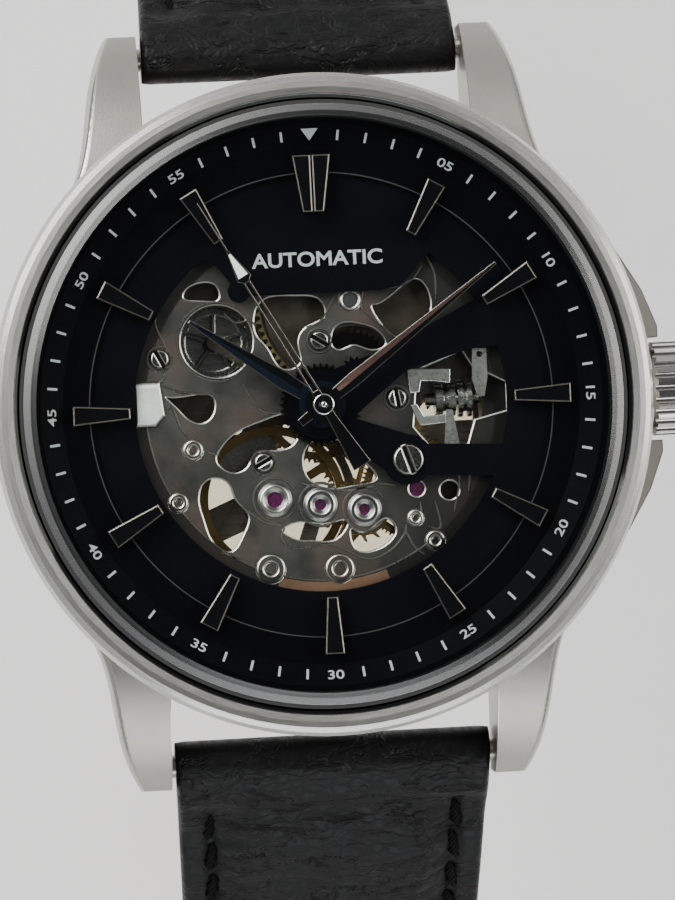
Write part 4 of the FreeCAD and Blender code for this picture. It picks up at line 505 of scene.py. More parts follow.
# The finish of each CAD node that stays visible.
FINISHES = {
    case_metal("case_steel", STEEL): ("mid_case",),
    bezel_metal("bezel_steel", (0.56, 0.55, 0.52)): ("bezel",),
    turned_metal("back_steel", (0.6, 0.59, 0.565), 0.3, worn=0.12): ("case_back_ring",),
    metal("satin_steel", STEEL, 0.3, worn=0.12): ("crown_tube", "spring_bars"),
    metal("crown_steel", (0.62, 0.6, 0.56), 0.2, size=0.2, worn=0.1): ("crown",),
    BUCKLE_STEEL: ("buckle_bar",),
    clear("sapphire_front", 0.012, rim=18.18): ("crystal",),
    clear("sapphire_back", 0.04, tone=(0.93, 0.88, 0.76)): ("case_back_window",),
    coated("rubber", (0.012, 0.012, 0.012), 0.55, size=0.15, depth=0.01): (
        "crystal_gasket", "case_back_gasket", "crown_gasket"),
    coated("holder_plastic", (0.05, 0.05, 0.052), 0.5, size=0.3, depth=0.01): ("movement_holder",),
    coated("dial_black", (0.0013, 0.0014, 0.0024), 0.42, size=0.14, fleck=2.6, specular=0.04): ("dial",),
    coated("flange_black", (0.0013, 0.0013, 0.002), 0.45, size=0.2, fleck=1.6, specular=0.02): (
        "flange_ring",),
    GLOSS_BLACK: ("hour_markers",),
    HAND_BLUE: ("hour_hand",),
    DARK_STEEL: ("seconds_hand", "minute_hand"),
    plate_metal("plate_steel", (0.1, 0.095, 0.09), PLATE_STEP): ("mainplate",),
    striped_metal("bridge_steel", (0.33, 0.29, 0.24), 0.3, turn=math.radians(35)): (
        "train_bridge", "balance_cock", "pallet_bridge"),
    striped_metal("rotor_steel", (0.5, 0.49, 0.47), 0.27, pitch=1.6, turn=math.radians(90)): ("rotor",),
    gem("ruby", rgb(0.16, 0.006, 0.09), rgb(0.06, 0.003, 0.045)): ("jewels",),
    metal("setting_steel", (0.17, 0.165, 0.16), 0.34): ("jewel_settings",),
    metal("gilt_brass", (0.62, 0.46, 0.22), 0.25, size=0.1, worn=0.04): (
        "third_wheel", "fourth_wheel", "escape_wheel"),
    metal("centre_gilt", (0.3, 0.2, 0.09), 0.3): ("centre_wheel",),
    rimmed_metal("barrel_steel", (0.1, 0.085, 0.07), (0.62, 0.47, 0.24), BARREL_CENTRE, 5.75): (
        "barrel_drum", "barrel_cover"),
    metal("works_black", (0.02, 0.018, 0.018), 0.3, size=0.2, depth=0.003): ("minute_wheel", "hour_wheel"),
    metal("balance_gilt", (0.3, 0.2, 0.075), 0.3, size=0.15): ("balance_wheel",),
    screw_metal("screw_steel", (0.19, 0.18, 0.17), (7.0, 7.8)): ("movement_screws",),
    turned_metal("wheel_steel", (0.42, 0.41, 0.4), 0.26, line=0.1): (
        "ratchet_wheel", "crown_wheel", "intermediate_wheel", "reversing_wheel"),
    metal("pivot_steel", (0.5, 0.5, 0.5), 0.22, size=0.08): (
        "barrel_arbor", "centre_pinion", "seconds_pinion", "pallet_fork", "balance_staff",
        "cannon_pinion", "click"),
    BRIGHT_STEEL: ("stem", "winding_pinion", "clutch_wheel", "setting_lever", "yoke"),
    metal("mainspring_steel", (0.35, 0.34, 0.34), 0.25, size=0.1): ("mainspring",),
    metal("spring_blue", (0.12, 0.16, 0.3), 0.2, size=0.1): ("hairspring",),
}


def paint(obj, *materials):
    obj.data.materials.clear()
    for material in materials:
        obj.data.materials.append(material)


for finish, names in FINISHES.items():
    for node_name in names:
        paint(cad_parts[node_name], finish)


# ---------------------------------------------------------------- mesh helpers
def link(obj):
    bpy.context.scene.collection.objects.link(obj)
    return obj


def add_object(name, mesh, body, material_slot, *materials, smooth=True):
    """A new piece from a mesh whose vertices are already in place."""
    made = link(bpy.data.objects.new(name, mesh))
    paint(made, *materials)
    mesh.polygons.foreach_set("use_smooth", [smooth] * len(mesh.polygons))
    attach(made, body)
    return made


def new_mesh(name, points, faces):
    mesh = bpy.data.meshes.new(name)
    mesh.from_pydata([tuple(p) for p in points], [], faces)
    mesh.update()
    return mesh


def mesh_from(bm, name):
    mesh = bpy.data.meshes.new(name)
    bm.to_mesh(mesh)
    bm.free()
    return mesh


def evaluated(obj):
    """A copy of an object's mesh with its modifiers applied, or of a text's or curve's shape."""
    bpy.context.view_layer.update()
    return bpy.data.meshes.new_from_object(obj.evaluated_get(bpy.context.evaluated_depsgraph_get()))


def reshape(mesh, work):
    """Runs a bmesh function on a mesh in place."""
    bm = bmesh.new()
    bm.from_mesh(mesh)
    work(bm)
    bm.to_mesh(mesh)
    bm.free()


def face_up(bm):
    bm.normal_update()
    bmesh.ops.reverse_faces(bm, faces=[f for f in bm.faces if f.normal.z < 0])


def face_out(bm):
    bmesh.ops.recalc_face_normals(bm, faces=bm.faces)


def quads(rows, columns, start=0, closed=True):
    """Faces between rows of points that are rings or, where not closed, open strips."""
    faces = []
    for row in range(rows - 1):
        here = start + row * columns
        for number in range(columns if closed else columns - 1):
            following = (number + 1) % columns
            faces.append((here + number, here + following, here + columns + following,
                          here + columns + number))
    return faces


def add_uvs(mesh, places):
    """UVs in tenths of a metre, from each point's place in metres."""
    layer = mesh.uv_layers.new(name="flat")
    for loop in mesh.loops:
        u, v = places[loop.vertex_index]
        layer.data[loop.index].uv = (u * 10, v * 10)


def circle(steps):
    return [2 * math.pi * number / steps for number in range(steps)]


def welded(node):
    """A bmesh copy of a CAD node's mesh with its split vertices joined."""
    bm = bmesh.new()
    bm.from_mesh(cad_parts[node].data)
    bmesh.ops.remove_doubles(bm, verts=bm.verts, dist=0.001 * MM)
    bm.normal_update()
    return bm


def islands(node):
    """The middle and radius, seen from above, of each separate solid in a CAD node."""
    bm = welded(node)
    left = set(bm.verts)
    found = []
    while left:
        front = [left.pop()]
        group = []
        while front:
            v = front.pop()
            group.append(v.co.copy())
            near = [e.other_vert(v) for e in v.link_edges]
            front += [other for other in near if other in left]
            left.difference_update(near)
        xs = [p.x for p in group]
        ys = [p.y for p in group]
        found.append(((min(xs) + max(xs)) / 2, (min(ys) + max(ys)) / 2, (max(xs) - min(xs)) / 2))
    bm.free()
    return sorted(found)


def edge_trim(name, node, body, width, material_slot, material, floor=None, beyond=0.0):
    """A bright bevel round a CAD node's top faces above the floor and beyond a distance from the centre.

    It is a ring width mm wide whose outer edge is lower.
    """
    outer_rise = 0.008
    inner_rise = outer_rise + 0.4 * width
    bm = welded(node)
    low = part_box(node)[1].z - 0.02 * MM if floor is None else floor
    wanted = {f for f in bm.faces if f.normal.z > 0.999 and f.calc_center_median().z > low}
    bmesh.ops.delete(bm, geom=[f for f in bm.faces if f not in wanted], context="FACES")
    outer = {v for v in bm.verts if v.is_boundary}
    ring = set(bmesh.ops.inset_region(bm, faces=bm.faces[:], thickness=width * MM, use_boundary=True,
                                      use_even_offset=True)["faces"])
    bmesh.ops.delete(bm, geom=[f for f in bm.faces if f not in ring], context="FACES")
    near = [f for f in bm.faces if f.calc_center_median().xy.length < beyond]
    bmesh.ops.delete(bm, geom=near, context="FACES")
    for v in bm.verts:
        v.co.z += (outer_rise if v in outer else inner_rise) * MM
    add_object(name, mesh_from(bm, name), body, material_slot, material, smooth=False)


def softened(name, node, body, width, material_slot, material, segments=3):
    """A CAD node's shape with its sharp edges rounded, in place of the node."""
    bm = welded(node)
    bmesh.ops.dissolve_limit(bm, angle_limit=math.radians(1), verts=bm.verts, edges=bm.edges)
    sharp = [e for e in bm.edges if len(e.link_faces) == 2 and e.calc_face_angle(0) > math.radians(30)]
    bmesh.ops.bevel(bm, geom=sharp, offset=width * MM, segments=segments, profile=0.5, affect="EDGES",
                    clamp_overlap=True)
    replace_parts(add_object(name, mesh_from(bm, name), body, material_slot, material), node)


def clock(radius, angle, across=0.0):
    """A point at a clock angle, radius out from the centre, moved across to the clockwise side."""
    return (radius * math.sin(angle) + across * math.cos(angle),
            radius * math.cos(angle) - across * math.sin(angle))


def flat_pieces(name, shapes, body, material_slot, material, height):
    """Thin flat shapes, each a list of XY points, laid at the height that height(x, y) gives."""
    points = []
    faces = []
    for shape in shapes:
        faces.append(tuple(range(len(points), len(points) + len(shape))))
        points += [(x, y, height(x, y)) for x, y in shape]
    mesh = new_mesh(name, points, faces)
    reshape(mesh, face_up)
    add_object(name, mesh, body, material_slot, material, smooth=False)


# ---------------------------------------------------------------- dial printing
def flange_height(x, y):
    """The flange's surface under a point, just clear of it."""
    radius = math.hypot(x, y)
    for (r0, z0), (r1, z1) in zip(FLANGE, FLANGE[1:]):
        if radius <= r1:
            share = max(0.0, (radius - r0) / (r1 - r0))
            return z0 + (z1 - z0) * share + PRINT
    return FLANGE[-1][1]


def add_letters(bm, text, height, widen, centre, up, surface, bold=0.012):
    """Plain letters, height metres tall, laid on a surface with their tops towards up."""
    curve = bpy.data.curves.new("letters", "FONT")
    curve.body = text
    curve.align_x = "CENTER"
    curve.size = 1.0
    curve.resolution_u = 6
    curve.offset = bold
    holder = link(bpy.data.objects.new("letters", curve))
    mesh = evaluated(holder)
    bpy.data.objects.remove(holder)
    ys = [v.co.y for v in mesh.vertices]
    middle = (min(ys) + max(ys)) / 2
    scale = height / (max(ys) - min(ys))
    right = Vector((up[1], -up[0]))
    for v in mesh.vertices:
        across = v.co.x * scale * widen
        along = (v.co.y - middle) * scale
        x = centre[0] + right.x * across + up[0] * along
        y = centre[1] + right.y * across + up[1] * along
        v.co = Vector((x, y, surface(x, y)))
    bm.from_mesh(mesh)
    bpy.data.meshes.remove(mesh)


def make_minute_track():
    """Bars at the minutes, a triangle at 12, numerals at the fives, the chapter line and the dial's word."""
    tick_in = 16.85 * MM
    tick_out = 17.48 * MM
    half = 0.075 * MM
    shapes = []
    for minute in range(60):
        if minute % 5 == 0:
            continue
        angle = math.radians(6 * minute)
        shapes.append([clock(tick_in, angle, -half), clock(tick_out, angle, -half),
                       clock(tick_out, angle, half), clock(tick_in, angle, half)])
    shapes.append([(-0.55 * MM, 17.55 * MM), (0.55 * MM, 17.55 * MM), (0, 16.8 * MM)])
    flat_pieces("minute_ticks", shapes, "case", "black_lacquer", WHITE_PRINT, flange_height)

    numeral_radius = 17.18 * MM
    numeral_height = 0.56 * MM
    numeral_widen = 1.45
    bm = bmesh.new()
    for minute in range(5, 60, 5):
        out = Vector(clock(1.0, math.radians(6 * minute)))
        up = -out if 16 < minute < 44 else out
        add_letters(bm, f"{minute:02d}", numeral_height, numeral_widen, out * numeral_radius, up,
                    flange_height)
    add_object("minute_numerals", mesh_from(bm, "minute_numerals"), "case", "black_lacquer", WHITE_PRINT,
               smooth=False)

    line_in = 14.74 * MM
    line_out = 14.82 * MM
    steps = 240
    shapes = []
    for number in range(steps):
        a = 2 * math.pi * number / steps
        b = 2 * math.pi * (number + 1) / steps
        shapes.append([clock(line_in, a), clock(line_out, a), clock(line_out, b), clock(line_in, b)])
    flat_pieces("chapter_line", shapes, "case", "black_lacquer", GREY_PRINT, flange_height)

    word_height = 0.95 * MM
    word_widen = 1.12
    word_middle = (0.2 * MM, 9.3 * MM)
    bm = bmesh.new()
    add_letters(bm, "AUTOMATIC", word_height, word_widen, word_middle, (0, 1),
                lambda x, y: DIAL_TOP + PRINT, bold=0.02)
    add_object("dial_word", mesh_from(bm, "dial_word"), "case", "black_lacquer", WHITE_PRINT, smooth=False)


# ---------------------------------------------------------------- hands and markers
def ridge(name, body, material_slot, angle, stations, base, left, right):
    """A roof along a hand: a facet each side of its middle line, from half widths and distances in mm."""
    points = []
    for half, along in stations:
        for across, height in ((-half, 0), (0, 0.06), (half, 0)):
            points.append((*clock(along * MM, angle, across * MM), base + (0.006 + height) * MM))
    mesh = new_mesh(name, points, quads(len(stations), 3, closed=False))
    add_object(name, mesh, body, material_slot, left, right, smooth=False)
    for number, polygon in enumerate(mesh.polygons):
        polygon.material_index = number % 2
    reshape(mesh, face_up)


def lathe(name, body, material_slot, profile, base, *materials, bright_from=math.inf):
    """A turned piece on the watch's axis, from radius and height pairs in mm."""
    steps = 48
    points = []
    for radius, height in profile:
        for a in circle(steps):
            points.append((radius * MM * math.cos(a), radius * MM * math.sin(a), base + height * MM))
    mesh = new_mesh(name, points, quads(len(profile), steps))
    add_object(name, mesh, body, material_slot, *materials)
    mesh.polygons.foreach_set("material_index", [int(radius >= bright_from) for radius, _ in profile[:-1]
                                                 for _ in range(steps)])

    def close(bm):
        bmesh.ops.remove_doubles(bm, verts=bm.verts, dist=0.0005 * MM)
        face_out(bm)
        if sum(f.normal.z for f in bm.faces) < 0:
            bmesh.ops.reverse_faces(bm, faces=bm.faces)

    reshape(mesh, close)


# Bright rims: piece, CAD node, body, width in mm, slot, material and limits.
RIMS = (
    ("hour_hand_edge", "hour_hand", "hours", 0.06, "black_polish", DULL_TRIM, {"beyond": 1.7 * MM}),
    ("minute_hand_edge", "minute_hand", "minutes", 0.04, "steel_bright", DULL_TRIM, {"beyond": 1.3 * MM}),
    ("seconds_hand_edge", "seconds_hand", "seconds", 0.045, "steel_bright", DULL_TRIM,
     {"floor": 9.4 * MM, "beyond": 0.75 * MM}),
    ("hour_marker_edges", "hour_markers", "case", 0.085, "steel_bright", DULL_TRIM, {}),
    ("plate_edges", "mainplate", "case", 0.09, "steel_grey", TRIM_STEEL, {"floor": PLATE_TOP - 0.02 * MM}),
    ("setting_edges", "jewel_settings", "case", 0.1, "steel_bright", TRIM_STEEL, {}),
    ("reversing_edges", "reversing_wheel", "reversing", 0.09, "steel_grey", TRIM_STEEL, {}),
    ("intermediate_edges", "intermediate_wheel", "intermediate", 0.09, "steel_grey", TRIM_STEEL, {}),
    ("screw_edges", "movement_screws", "case", 0.07, "steel_bright", TRIM_STEEL,
     {"floor": PLATE_TOP + 0.2 * MM}),
)


def make_hand_details():
    """The rims, the hands' facets, and the seconds hand's pale arrow, tail and hub."""
    for *rim, limits in RIMS:
        edge_trim(*rim, **limits)
    ridge("hour_hand_facets", "hours", "black_polish", HOUR_ANGLE,
          [(0.45, 1.7), (0.5, 3.0), (0.05, 9.2)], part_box("hour_hand")[1].z, HAND_BLUE, GLOSS_BLACK)
    # The minute hand's facets: one painted rose-brown as a painted reflection, the other gloss black as
    # painted shade.
    ridge("minute_hand_facets", "minutes", "steel_bright", MINUTE_ANGLE,
          [(0.3, 1.3), (0.42, 2.5), (0.05, 13.6)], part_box("minute_hand")[1].z, HAND_ROSE_REFLECTION, GLOSS_BLACK)
    for name, slot, material, outline in (
            ("seconds_lume", "steel_bright", LUME,
             [(-0.34, 9.55), (0.34, 9.55), (0.07, 11.2), (-0.07, 11.2)]),
            ("seconds_counterweight", "black_polish", GLOSS_BLACK,
             [(-0.5, -4.45), (0.5, -4.45), (0.2, -1.0), (-0.2, -1.0)])):
        shape = [clock(along * MM, SECONDS_ANGLE, across * MM) for across, along in outline]
        flat_pieces(name, [shape], "seconds", slot, material, lambda x, y: BLADE_TOP + 0.01 * MM)
    lathe("hub_cap", "seconds", "black_polish",
          [(0.2, 0.02), (0.26, 0.06), (0.5, 0.075), (0.57, 0.075), (0.6, 0.07), (0.65, 0.05), (0.68, 0.0)],
          SECONDS_TOP, GLOSS_BLACK, MIRROR_STEEL, bright_from=0.57)
    lathe("hub_pin", "seconds", "steel_bright", [(0.0, 0.13), (0.1, 0.12), (0.18, 0.08), (0.22, 0.0)],
          SECONDS_TOP, MIRROR_STEEL)


# ---------------------------------------------------------------- the mainplate's details
def smooth_line(points, steps=8):
    """A Catmull-Rom curve through XY points given in mm."""
    ends = [points[0], *points, points[-1]]
    line = []
    for before, here, there, after in zip(ends, ends[1:], ends[2:], ends[3:]):
        a, b, c, d = (Vector(p) for p in (before, here, there, after))
        for number in range(steps):
            t = number / steps
            line.append(0.5 * (2 * b + (c - a) * t + (2 * a - 5 * b + 4 * c - d) * t ** 2
                               + (3 * b - a - 3 * c + d) * t ** 3))
    line.append(Vector(points[-1]))
    return line


def arc(centre, radius, start, end, steps=40):
    """Points in mm round an arc, from one angle in degrees to another, anticlockwise from 3 o'clock."""
    angles = [math.radians(start + (end - start) * number / steps) for number in range(steps + 1)]
    return [Vector((centre[0] + radius * math.cos(a), centre[1] + radius * math.sin(a))) for a in angles]


def raised_lines(name, lines, half, rise, base, material_slot, material):
    """Low ridges along lines in mm, such as the polished bevels of steps and bridges on the plate."""
    sunk = -0.02
    points = []
    faces = []
    for line in lines:
        last = len(line) - 1
        faces += quads(len(line), 4, start=len(points), closed=False)
        for number, spot in enumerate(line):
            ahead = line[min(number + 1, last)] - line[max(number - 1, 0)]
            side = Vector((-ahead.y, ahead.x)).normalized()
            thin = half * min(1.0, 0.35 + 0.25 * number, 0.35 + 0.25 * (last - number))
            for across, up in ((-thin, sunk), (-0.4 * thin, rise), (0.4 * thin, rise), (thin, sunk)):
                place = spot + side * across
                points.append((place.x * MM, place.y * MM, base + up * MM))
    mesh = new_mesh(name, points, faces)
    reshape(mesh, face_up)
    add_object(name, mesh, "case", material_slot, material, smooth=False)


def slab(name, shapes, low, high, material_slot, material):
    """Thin plates with bevelled top edges, each from a list of XY points in mm."""
    bm = bmesh.new()
    for shape in shapes:
        bottom = bm.faces.new([bm.verts.new((x * MM, y * MM, low)) for x, y in shape])
        bm.normal_update()
        if bottom.normal.z < 0:
            bottom.normal_flip()
        for part in bmesh.ops.extrude_face_region(bm, geom=[bottom])["geom"]:
            if isinstance(part, bmesh.types.BMVert):
                part.co.z = high
    face_out(bm)
    rims = [e for e in bm.edges if all(abs(v.co.z - high) < 1e-9 for v in e.verts)]
    bmesh.ops.bevel(bm, geom=rims, offset=0.05 * MM, segments=2, profile=0.5, affect="EDGES")
    add_object(name, mesh_from(bm, name), "case", material_slot, material, smooth=False)


# The polished steps and bevels that cross the mainplate, in mm.
PLATE_LINES = (
    ((-7.6, 9.2), (-9.0, 8.0), (-10.3, 6.0), (-9.8, 4.3), (-9.7, 3.5), (-9.9, 2.2), (-10.4, 1.75)),
    ((-10.0, 1.7), (-8.8, 1.2), (-6.6, 1.0)),
    ((-10.4, -0.9), (-9.6, 0.35), (-9.0, -1.1), (-8.2, -2.0), (-7.2, -2.7), (-6.6, -2.9)),
    ((-1.6, -4.9), (0.4, -5.45), (2.2, -5.45), (3.6, -5.2), (4.6, -5.4)),
    ((-5.3, -6.3), (-4.0, -7.3), (-2.8, -7.6), (-2.9, -8.5), (-2.0, -9.1), (0.2, -8.95), (2.4, -9.95),
     (3.9, -9.6), (4.9, -8.6), (5.1, -7.9)),
    ((5.0, -8.2), (5.5, -9.3), (6.2, -9.9)),
    ((-6.9, -9.1), (-5.4, -9.7), (-4.7, -10.0)),
    ((-5.9, 6.1), (-5.2, 5.5), (-4.3, 5.6), (-3.9, 5.2)),
    ((-5.0, 1.6), (-3.9, -0.1), (-2.6, -0.4), (-1.9, 0.1)),
    ((-4.6, 3.7), (-3.6, 2.2), (-2.3, 0.9), (-1.9, 0.8)),
    ((1.2, 6.9), (0.3, 5.4), (-0.7, 5.0)),
    ((3.1, 7.2), (2.9, 6.1), (3.9, 5.1), (5.2, 3.9)),
    ((6.9, 8.6), (6.4, 7.9), (5.6, 7.4), (3.9, 7.3), (1.4, 7.5), (-1.7, 7.4)),
    ((7.2, 9.2), (7.7, 8.0), (7.7, 6.3)),
    ((6.05, -6.5), (6.15, -7.9)),
    ((7.0, -6.5), (7.3, -8.2), (6.5, -8.1)),
    ((8.6, -4.3), (8.6, -5.6), (8.2, -7.3)),
    ((9.4, -4.2), (9.2, -6.0)),
)

# The covers of the setting works at 3 o'clock and the outline of the shoe at 9 o'clock, in mm.
SETTING_COVERS = (
    ((5.6, 2.05), (5.75, 0.45), (6.35, 0.5), (6.5, 1.2), (7.4, 1.15), (8.35, 1.0), (8.4, 1.9)),
    ((5.75, -0.3), (6.15, -0.25), (6.6, -1.05), (8.3, -0.95), (8.35, -1.5), (6.3, -1.65)),
)
SHOE = ((-11.8, 1.85), (-10.3, 1.85), (-10.05, -0.2), (-10.65, -0.8), (-11.8, -0.8))


def make_plate_details():
    """The bright bevels on the mainplate, the shoe's cap, the setting works' covers and the copper edge."""
    lines = [smooth_line(line) for line in PLATE_LINES]
    for node, clear_of, start, end in (("jewel_settings", 0.28, 20, 330), ("movement_screws", 0.16, 0, 360)):
        for x, y, radius in islands(node):
            lines.append(arc((x / MM, y / MM), radius / MM + clear_of, start, end))
    x, y = middle_of("reversing_wheel")
    lines.append(arc((x / MM, y / MM), 2.5, 60, 300))
    lines.append(arc((0, 0), PLATE_STEP, 183, 308, 90))
    raised_lines("plate_bevels", lines, 0.09, 0.07, PLATE_TOP, "steel_grey", TRIM_STEEL)

    _, rim_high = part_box("mainplate")
    base = [(x * MM, y * MM, rim_high.z + 0.005 * MM) for x, y in SHOE]
    crown = [((x * 0.9 - 1.09) * MM, (y * 0.82 + 0.09) * MM, rim_high.z + 0.09 * MM) for x, y in SHOE]
    count = len(SHOE)
    mesh = new_mesh("shoe_cap", base + crown, quads(2, count) + [tuple(range(count, 2 * count))])
    reshape(mesh, face_up)
    add_object("shoe_cap", mesh, "case", "steel_bright", WHITE_STEEL, smooth=False)

    slab("setting_covers", SETTING_COVERS, PLATE_TOP - 0.05 * MM, PLATE_TOP + 0.12 * MM, "steel_bright",
         BRIGHT_STEEL)

    inner = arc((0, 0), PLATE_STEP + 0.1, 254, 289)
    outer = arc((0, 0), rim_high.x / MM - 0.05, 289, 254)
    sector = [(p.x * MM, p.y * MM) for p in inner + outer]
    flat_pieces("copper_edge", [sector], "case", "brass_gold", COPPER, lambda x, y: PLATE_TOP + 0.02 * MM)


# ---------------------------------------------------------------- strap
def strap_point(side, along, lift, across):
    """A point on the strap: side is 1 for the upper half and -1 for the lower."""
    angle = math.pi / 2 - LEAD - along / BEND
    radius = BEND + lift
    return Vector((across, side * (BEND_Y + radius * math.cos(angle)), BEND_Z + radius * math.sin(angle)))


def strap_axes(side, along):
    """Outwards and onwards directions at a length along the strap."""
    angle = math.pi / 2 - LEAD - along / BEND
    outward = Vector((0, side * math.cos(angle), math.sin(angle)))
    ahead = Vector((0, side * math.sin(angle), -math.cos(angle)))
    return outward, ahead


def ease(value):
    value = max(0.0, min(1.0, value))
    return value * value * (3 - 2 * value)


def hump(distance, width):
    return math.exp(-((distance / width) ** 2))


def strap_half(side, along, length):
    """Half the strap's width at a length along it, with the lower half's rounded tip."""
    half = (STRAP_WIDTH + (STRAP_END_WIDTH - STRAP_WIDTH) * min(1, max(0, along) / TAPER_BY)) / 2
    tip = 10 * MM
    if side < 0 and along > length - tip:
        part = (along - (length - tip)) / tip
        half *= max(0.0, 1 - part ** 2.4) ** 0.5
    return half


def strap_thickness(along):
    return STRAP_THICK + (STRAP_END_THICK - STRAP_THICK) * min(1, max(0, along) / THIN_BY)


def pad_height(along):
    return PAD_SWELL * math.exp(-max(0.0, along - PAD_FROM) / PAD_FADE) + PAD_BASE


def wrinkles(side, along, across):
    """Height of the leather's folds, which run across and are deepest near the lugs."""
    s = along / MM
    x = across / MM
    seed = 40 * side
    bend = 2.2 * noise.noise(Vector((x * 0.11 + seed, s * 0.09, 1.7)))
    broad = noise.noise(Vector((x * 0.10 + seed, (s + bend) * 0.42, 0.3)))
    fold = 1 - abs(noise.noise(Vector((x * 0.17 + seed, (s + bend * 1.4) * 0.75, 5.1)))) * 5
    small = noise.noise(Vector((x * 0.6 + seed, (s + bend) * 1.5, 9.4)))
    near = 0.45 + 0.55 * math.exp(-max(0.0, s - 4) / 30)
    return near * (0.1 * broad - 0.13 * max(0.0, fold) + 0.03 * small) * MM


def strap_columns(half, count):
    """Places across the strap, closer together towards its edges, each with its distance from the edge."""
    for number in range(count + 1):
        t = -1 + 2 * number / count
        x = half * (0.62 * t + 0.38 * math.sin(t * math.pi / 2))
        yield x, max(0.0, half - abs(x))


# How many steps the top and the lining of the strap's section have.
TOP_COLUMNS = 76
LINING_COLUMNS = 24


def strap_section(side, along, length, squeeze):
    """One closed ring round the strap: the top from left to right, then the lining back again."""
    half = strap_half(side, along, length)
    thick = strap_thickness(along)
    pad = pad_height(along) * ease((along - 1.5 * MM) / (4 * MM))
    crease = 0.3 * MM * hump(along - 3.2 * MM, 0.8 * MM)
    turn = min(0.5 * MM, half)
    ring = []
    for x, edge in strap_columns(half, TOP_COLUMNS):
        drop = turn - math.sqrt(max(0.0, turn ** 2 - max(0.0, turn - edge) ** 2))
        rise = pad * ease((edge - STITCH_IN - 0.1 * MM) / (2.6 * MM))
        seam = 0.28 * MM * hump(edge - STITCH_IN, 0.42 * MM) if along > 3 * MM else 0.0
        lift = thick / 2 - pad + rise - seam - drop - crease * min(1, edge / (1 * MM))
        lift += wrinkles(side, along, x) * min(1, edge / (0.8 * MM)) * (1 if squeeze > 0.99 else squeeze)
        ring.append((x, min(lift, thick / 2) * squeeze))
    for x, edge in strap_columns(half, LINING_COLUMNS):
        drop = 0.25 * MM * (1 - min(1, edge / (0.35 * MM))) ** 2
        ring.append((-x, (-thick / 2 + drop) * squeeze))
    return ring


def rounded_end(thick, degrees):
    """How far a rounded end reaches at each angle, with its share of the thickness there."""
    return [(thick / 2 * math.sin(math.radians(a)), max(0.03, math.cos(math.radians(a)))) for a in degrees]


def make_strap(name, side, length, body):
    """One half of the strap: padded, sewn, wrinkled, lined in tan, and cut for its bar and buckle."""
    fold = rounded_end(STRAP_THICK, (88, 80, 70, 58, 46, 34, 22, 11))
    stations = [(-reach, share) for reach, share in fold]
    step = 0.34 * MM
    count = int(length / step)
    stations += [(length * number / count, 1.0) for number in range(count + (side > 0))]
    if side > 0:
        end = rounded_end(STRAP_END_THICK, (15, 30, 45, 60, 75, 88))
        stations += [(length + reach, share) for reach, share in end]
    else:
        stations += [(length - 0.12 * MM, 0.9), (length - 0.02 * MM, 0.6)]
    points = []
    places = []
    for along, squeeze in stations:
        ring = strap_section(side, along, length, squeeze)
        size = len(ring)
        points += [strap_point(side, along, lift, x) for x, lift in ring]
        places += [(x, along) for x, _ in ring]
    first = tuple(range(size))
    last = tuple(range(len(points) - size, len(points)))
    faces = quads(len(stations), size)
    if side > 0:
        faces += [first[::-1], last]
    else:
        faces = [quad[::-1] for quad in faces] + [first, last[::-1]]

    leather_slot, lining_slot, paint_slot = range(3)
    slots = []
    for along, _ in stations[:-1]:
        slots += [leather_slot] * TOP_COLUMNS + [paint_slot]
        slots += [lining_slot if along > 2.2 * MM else leather_slot] * LINING_COLUMNS + [paint_slot]
    slots += [leather_slot, paint_slot]
    mesh = new_mesh(name, points, faces)
    made = add_object(name, mesh, body, "black_leather", BLACK_LEATHER, TAN_LINING, EDGE_PAINT)
    mesh.polygons.foreach_set("material_index", slots)
    add_uvs(mesh, places)

    sideways = Vector((1, 0, 0))
    across = 30 * MM
    through = 10 * MM
    shapes = [drill("bar", Vector((0, side * BAR_Y, BAR_Z)), sideways, BAR_HOLE_RADIUS, across)]
    if side > 0:
        shapes.append(drill("pin", strap_point(side, length, 0, 0), sideways, BAR_HOLE_RADIUS, across))
        shapes.append(slot_cutter(side, length))
    else:
        for number in range(HOLES):
            along = length - FIRST_HOLE - HOLE_PITCH * number
            outward, _ = strap_axes(side, along)
            centre = strap_point(side, along, 0, 0)
            shapes.append(drill(f"hole{number}", centre, outward, HOLE_RADIUS, through))
    for shape in shapes:
        modifier = made.modifiers.new("hole", "BOOLEAN")
        modifier.operation = "DIFFERENCE"
        modifier.solver = "EXACT"
        modifier.object = shape
    cut = evaluated(made)
    made.modifiers.clear()
    made.data = cut
    cut.polygons.foreach_set("use_smooth", [True] * len(cut.polygons))
    for shape in shapes:
        bpy.data.objects.remove(shape)
    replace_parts(made, body)


def cutter(name, bm, *moves):
    """A shape that is cut out of the strap, painted like its edges."""
    mesh = mesh_from(bm, name)
    for move in moves:
        mesh.transform(move)
    mesh.materials.append(EDGE_PAINT)
    return link(bpy.data.objects.new(name, mesh))


def drill(name, centre, axis, radius, length):
    """A closed cylinder used to cut a hole."""
    bm = bmesh.new()
    bmesh.ops.create_cone(bm, cap_ends=True, segments=28, radius1=radius, radius2=radius, depth=length)
    turn = Vector((0, 0, 1)).rotation_difference(axis).to_matrix().to_4x4()
    return cutter(name, bm, Matrix.Translation(centre) @ turn)


def slot_cutter(side, along):
    """A block that cuts the tongue's slot in the folded end."""
    outward, ahead = strap_axes(side, along)
    bm = bmesh.new()
    bmesh.ops.create_cube(bm, size=1.0)
    axes = Matrix((ahead.cross(outward), ahead, outward)).transposed().to_4x4()
    return cutter("tongue_way", bm, Matrix.Diagonal((3.0 * MM, 6.4 * MM, 8 * MM, 1)),
                  Matrix.Translation(strap_point(side, along, 0, 0)) @ axes)


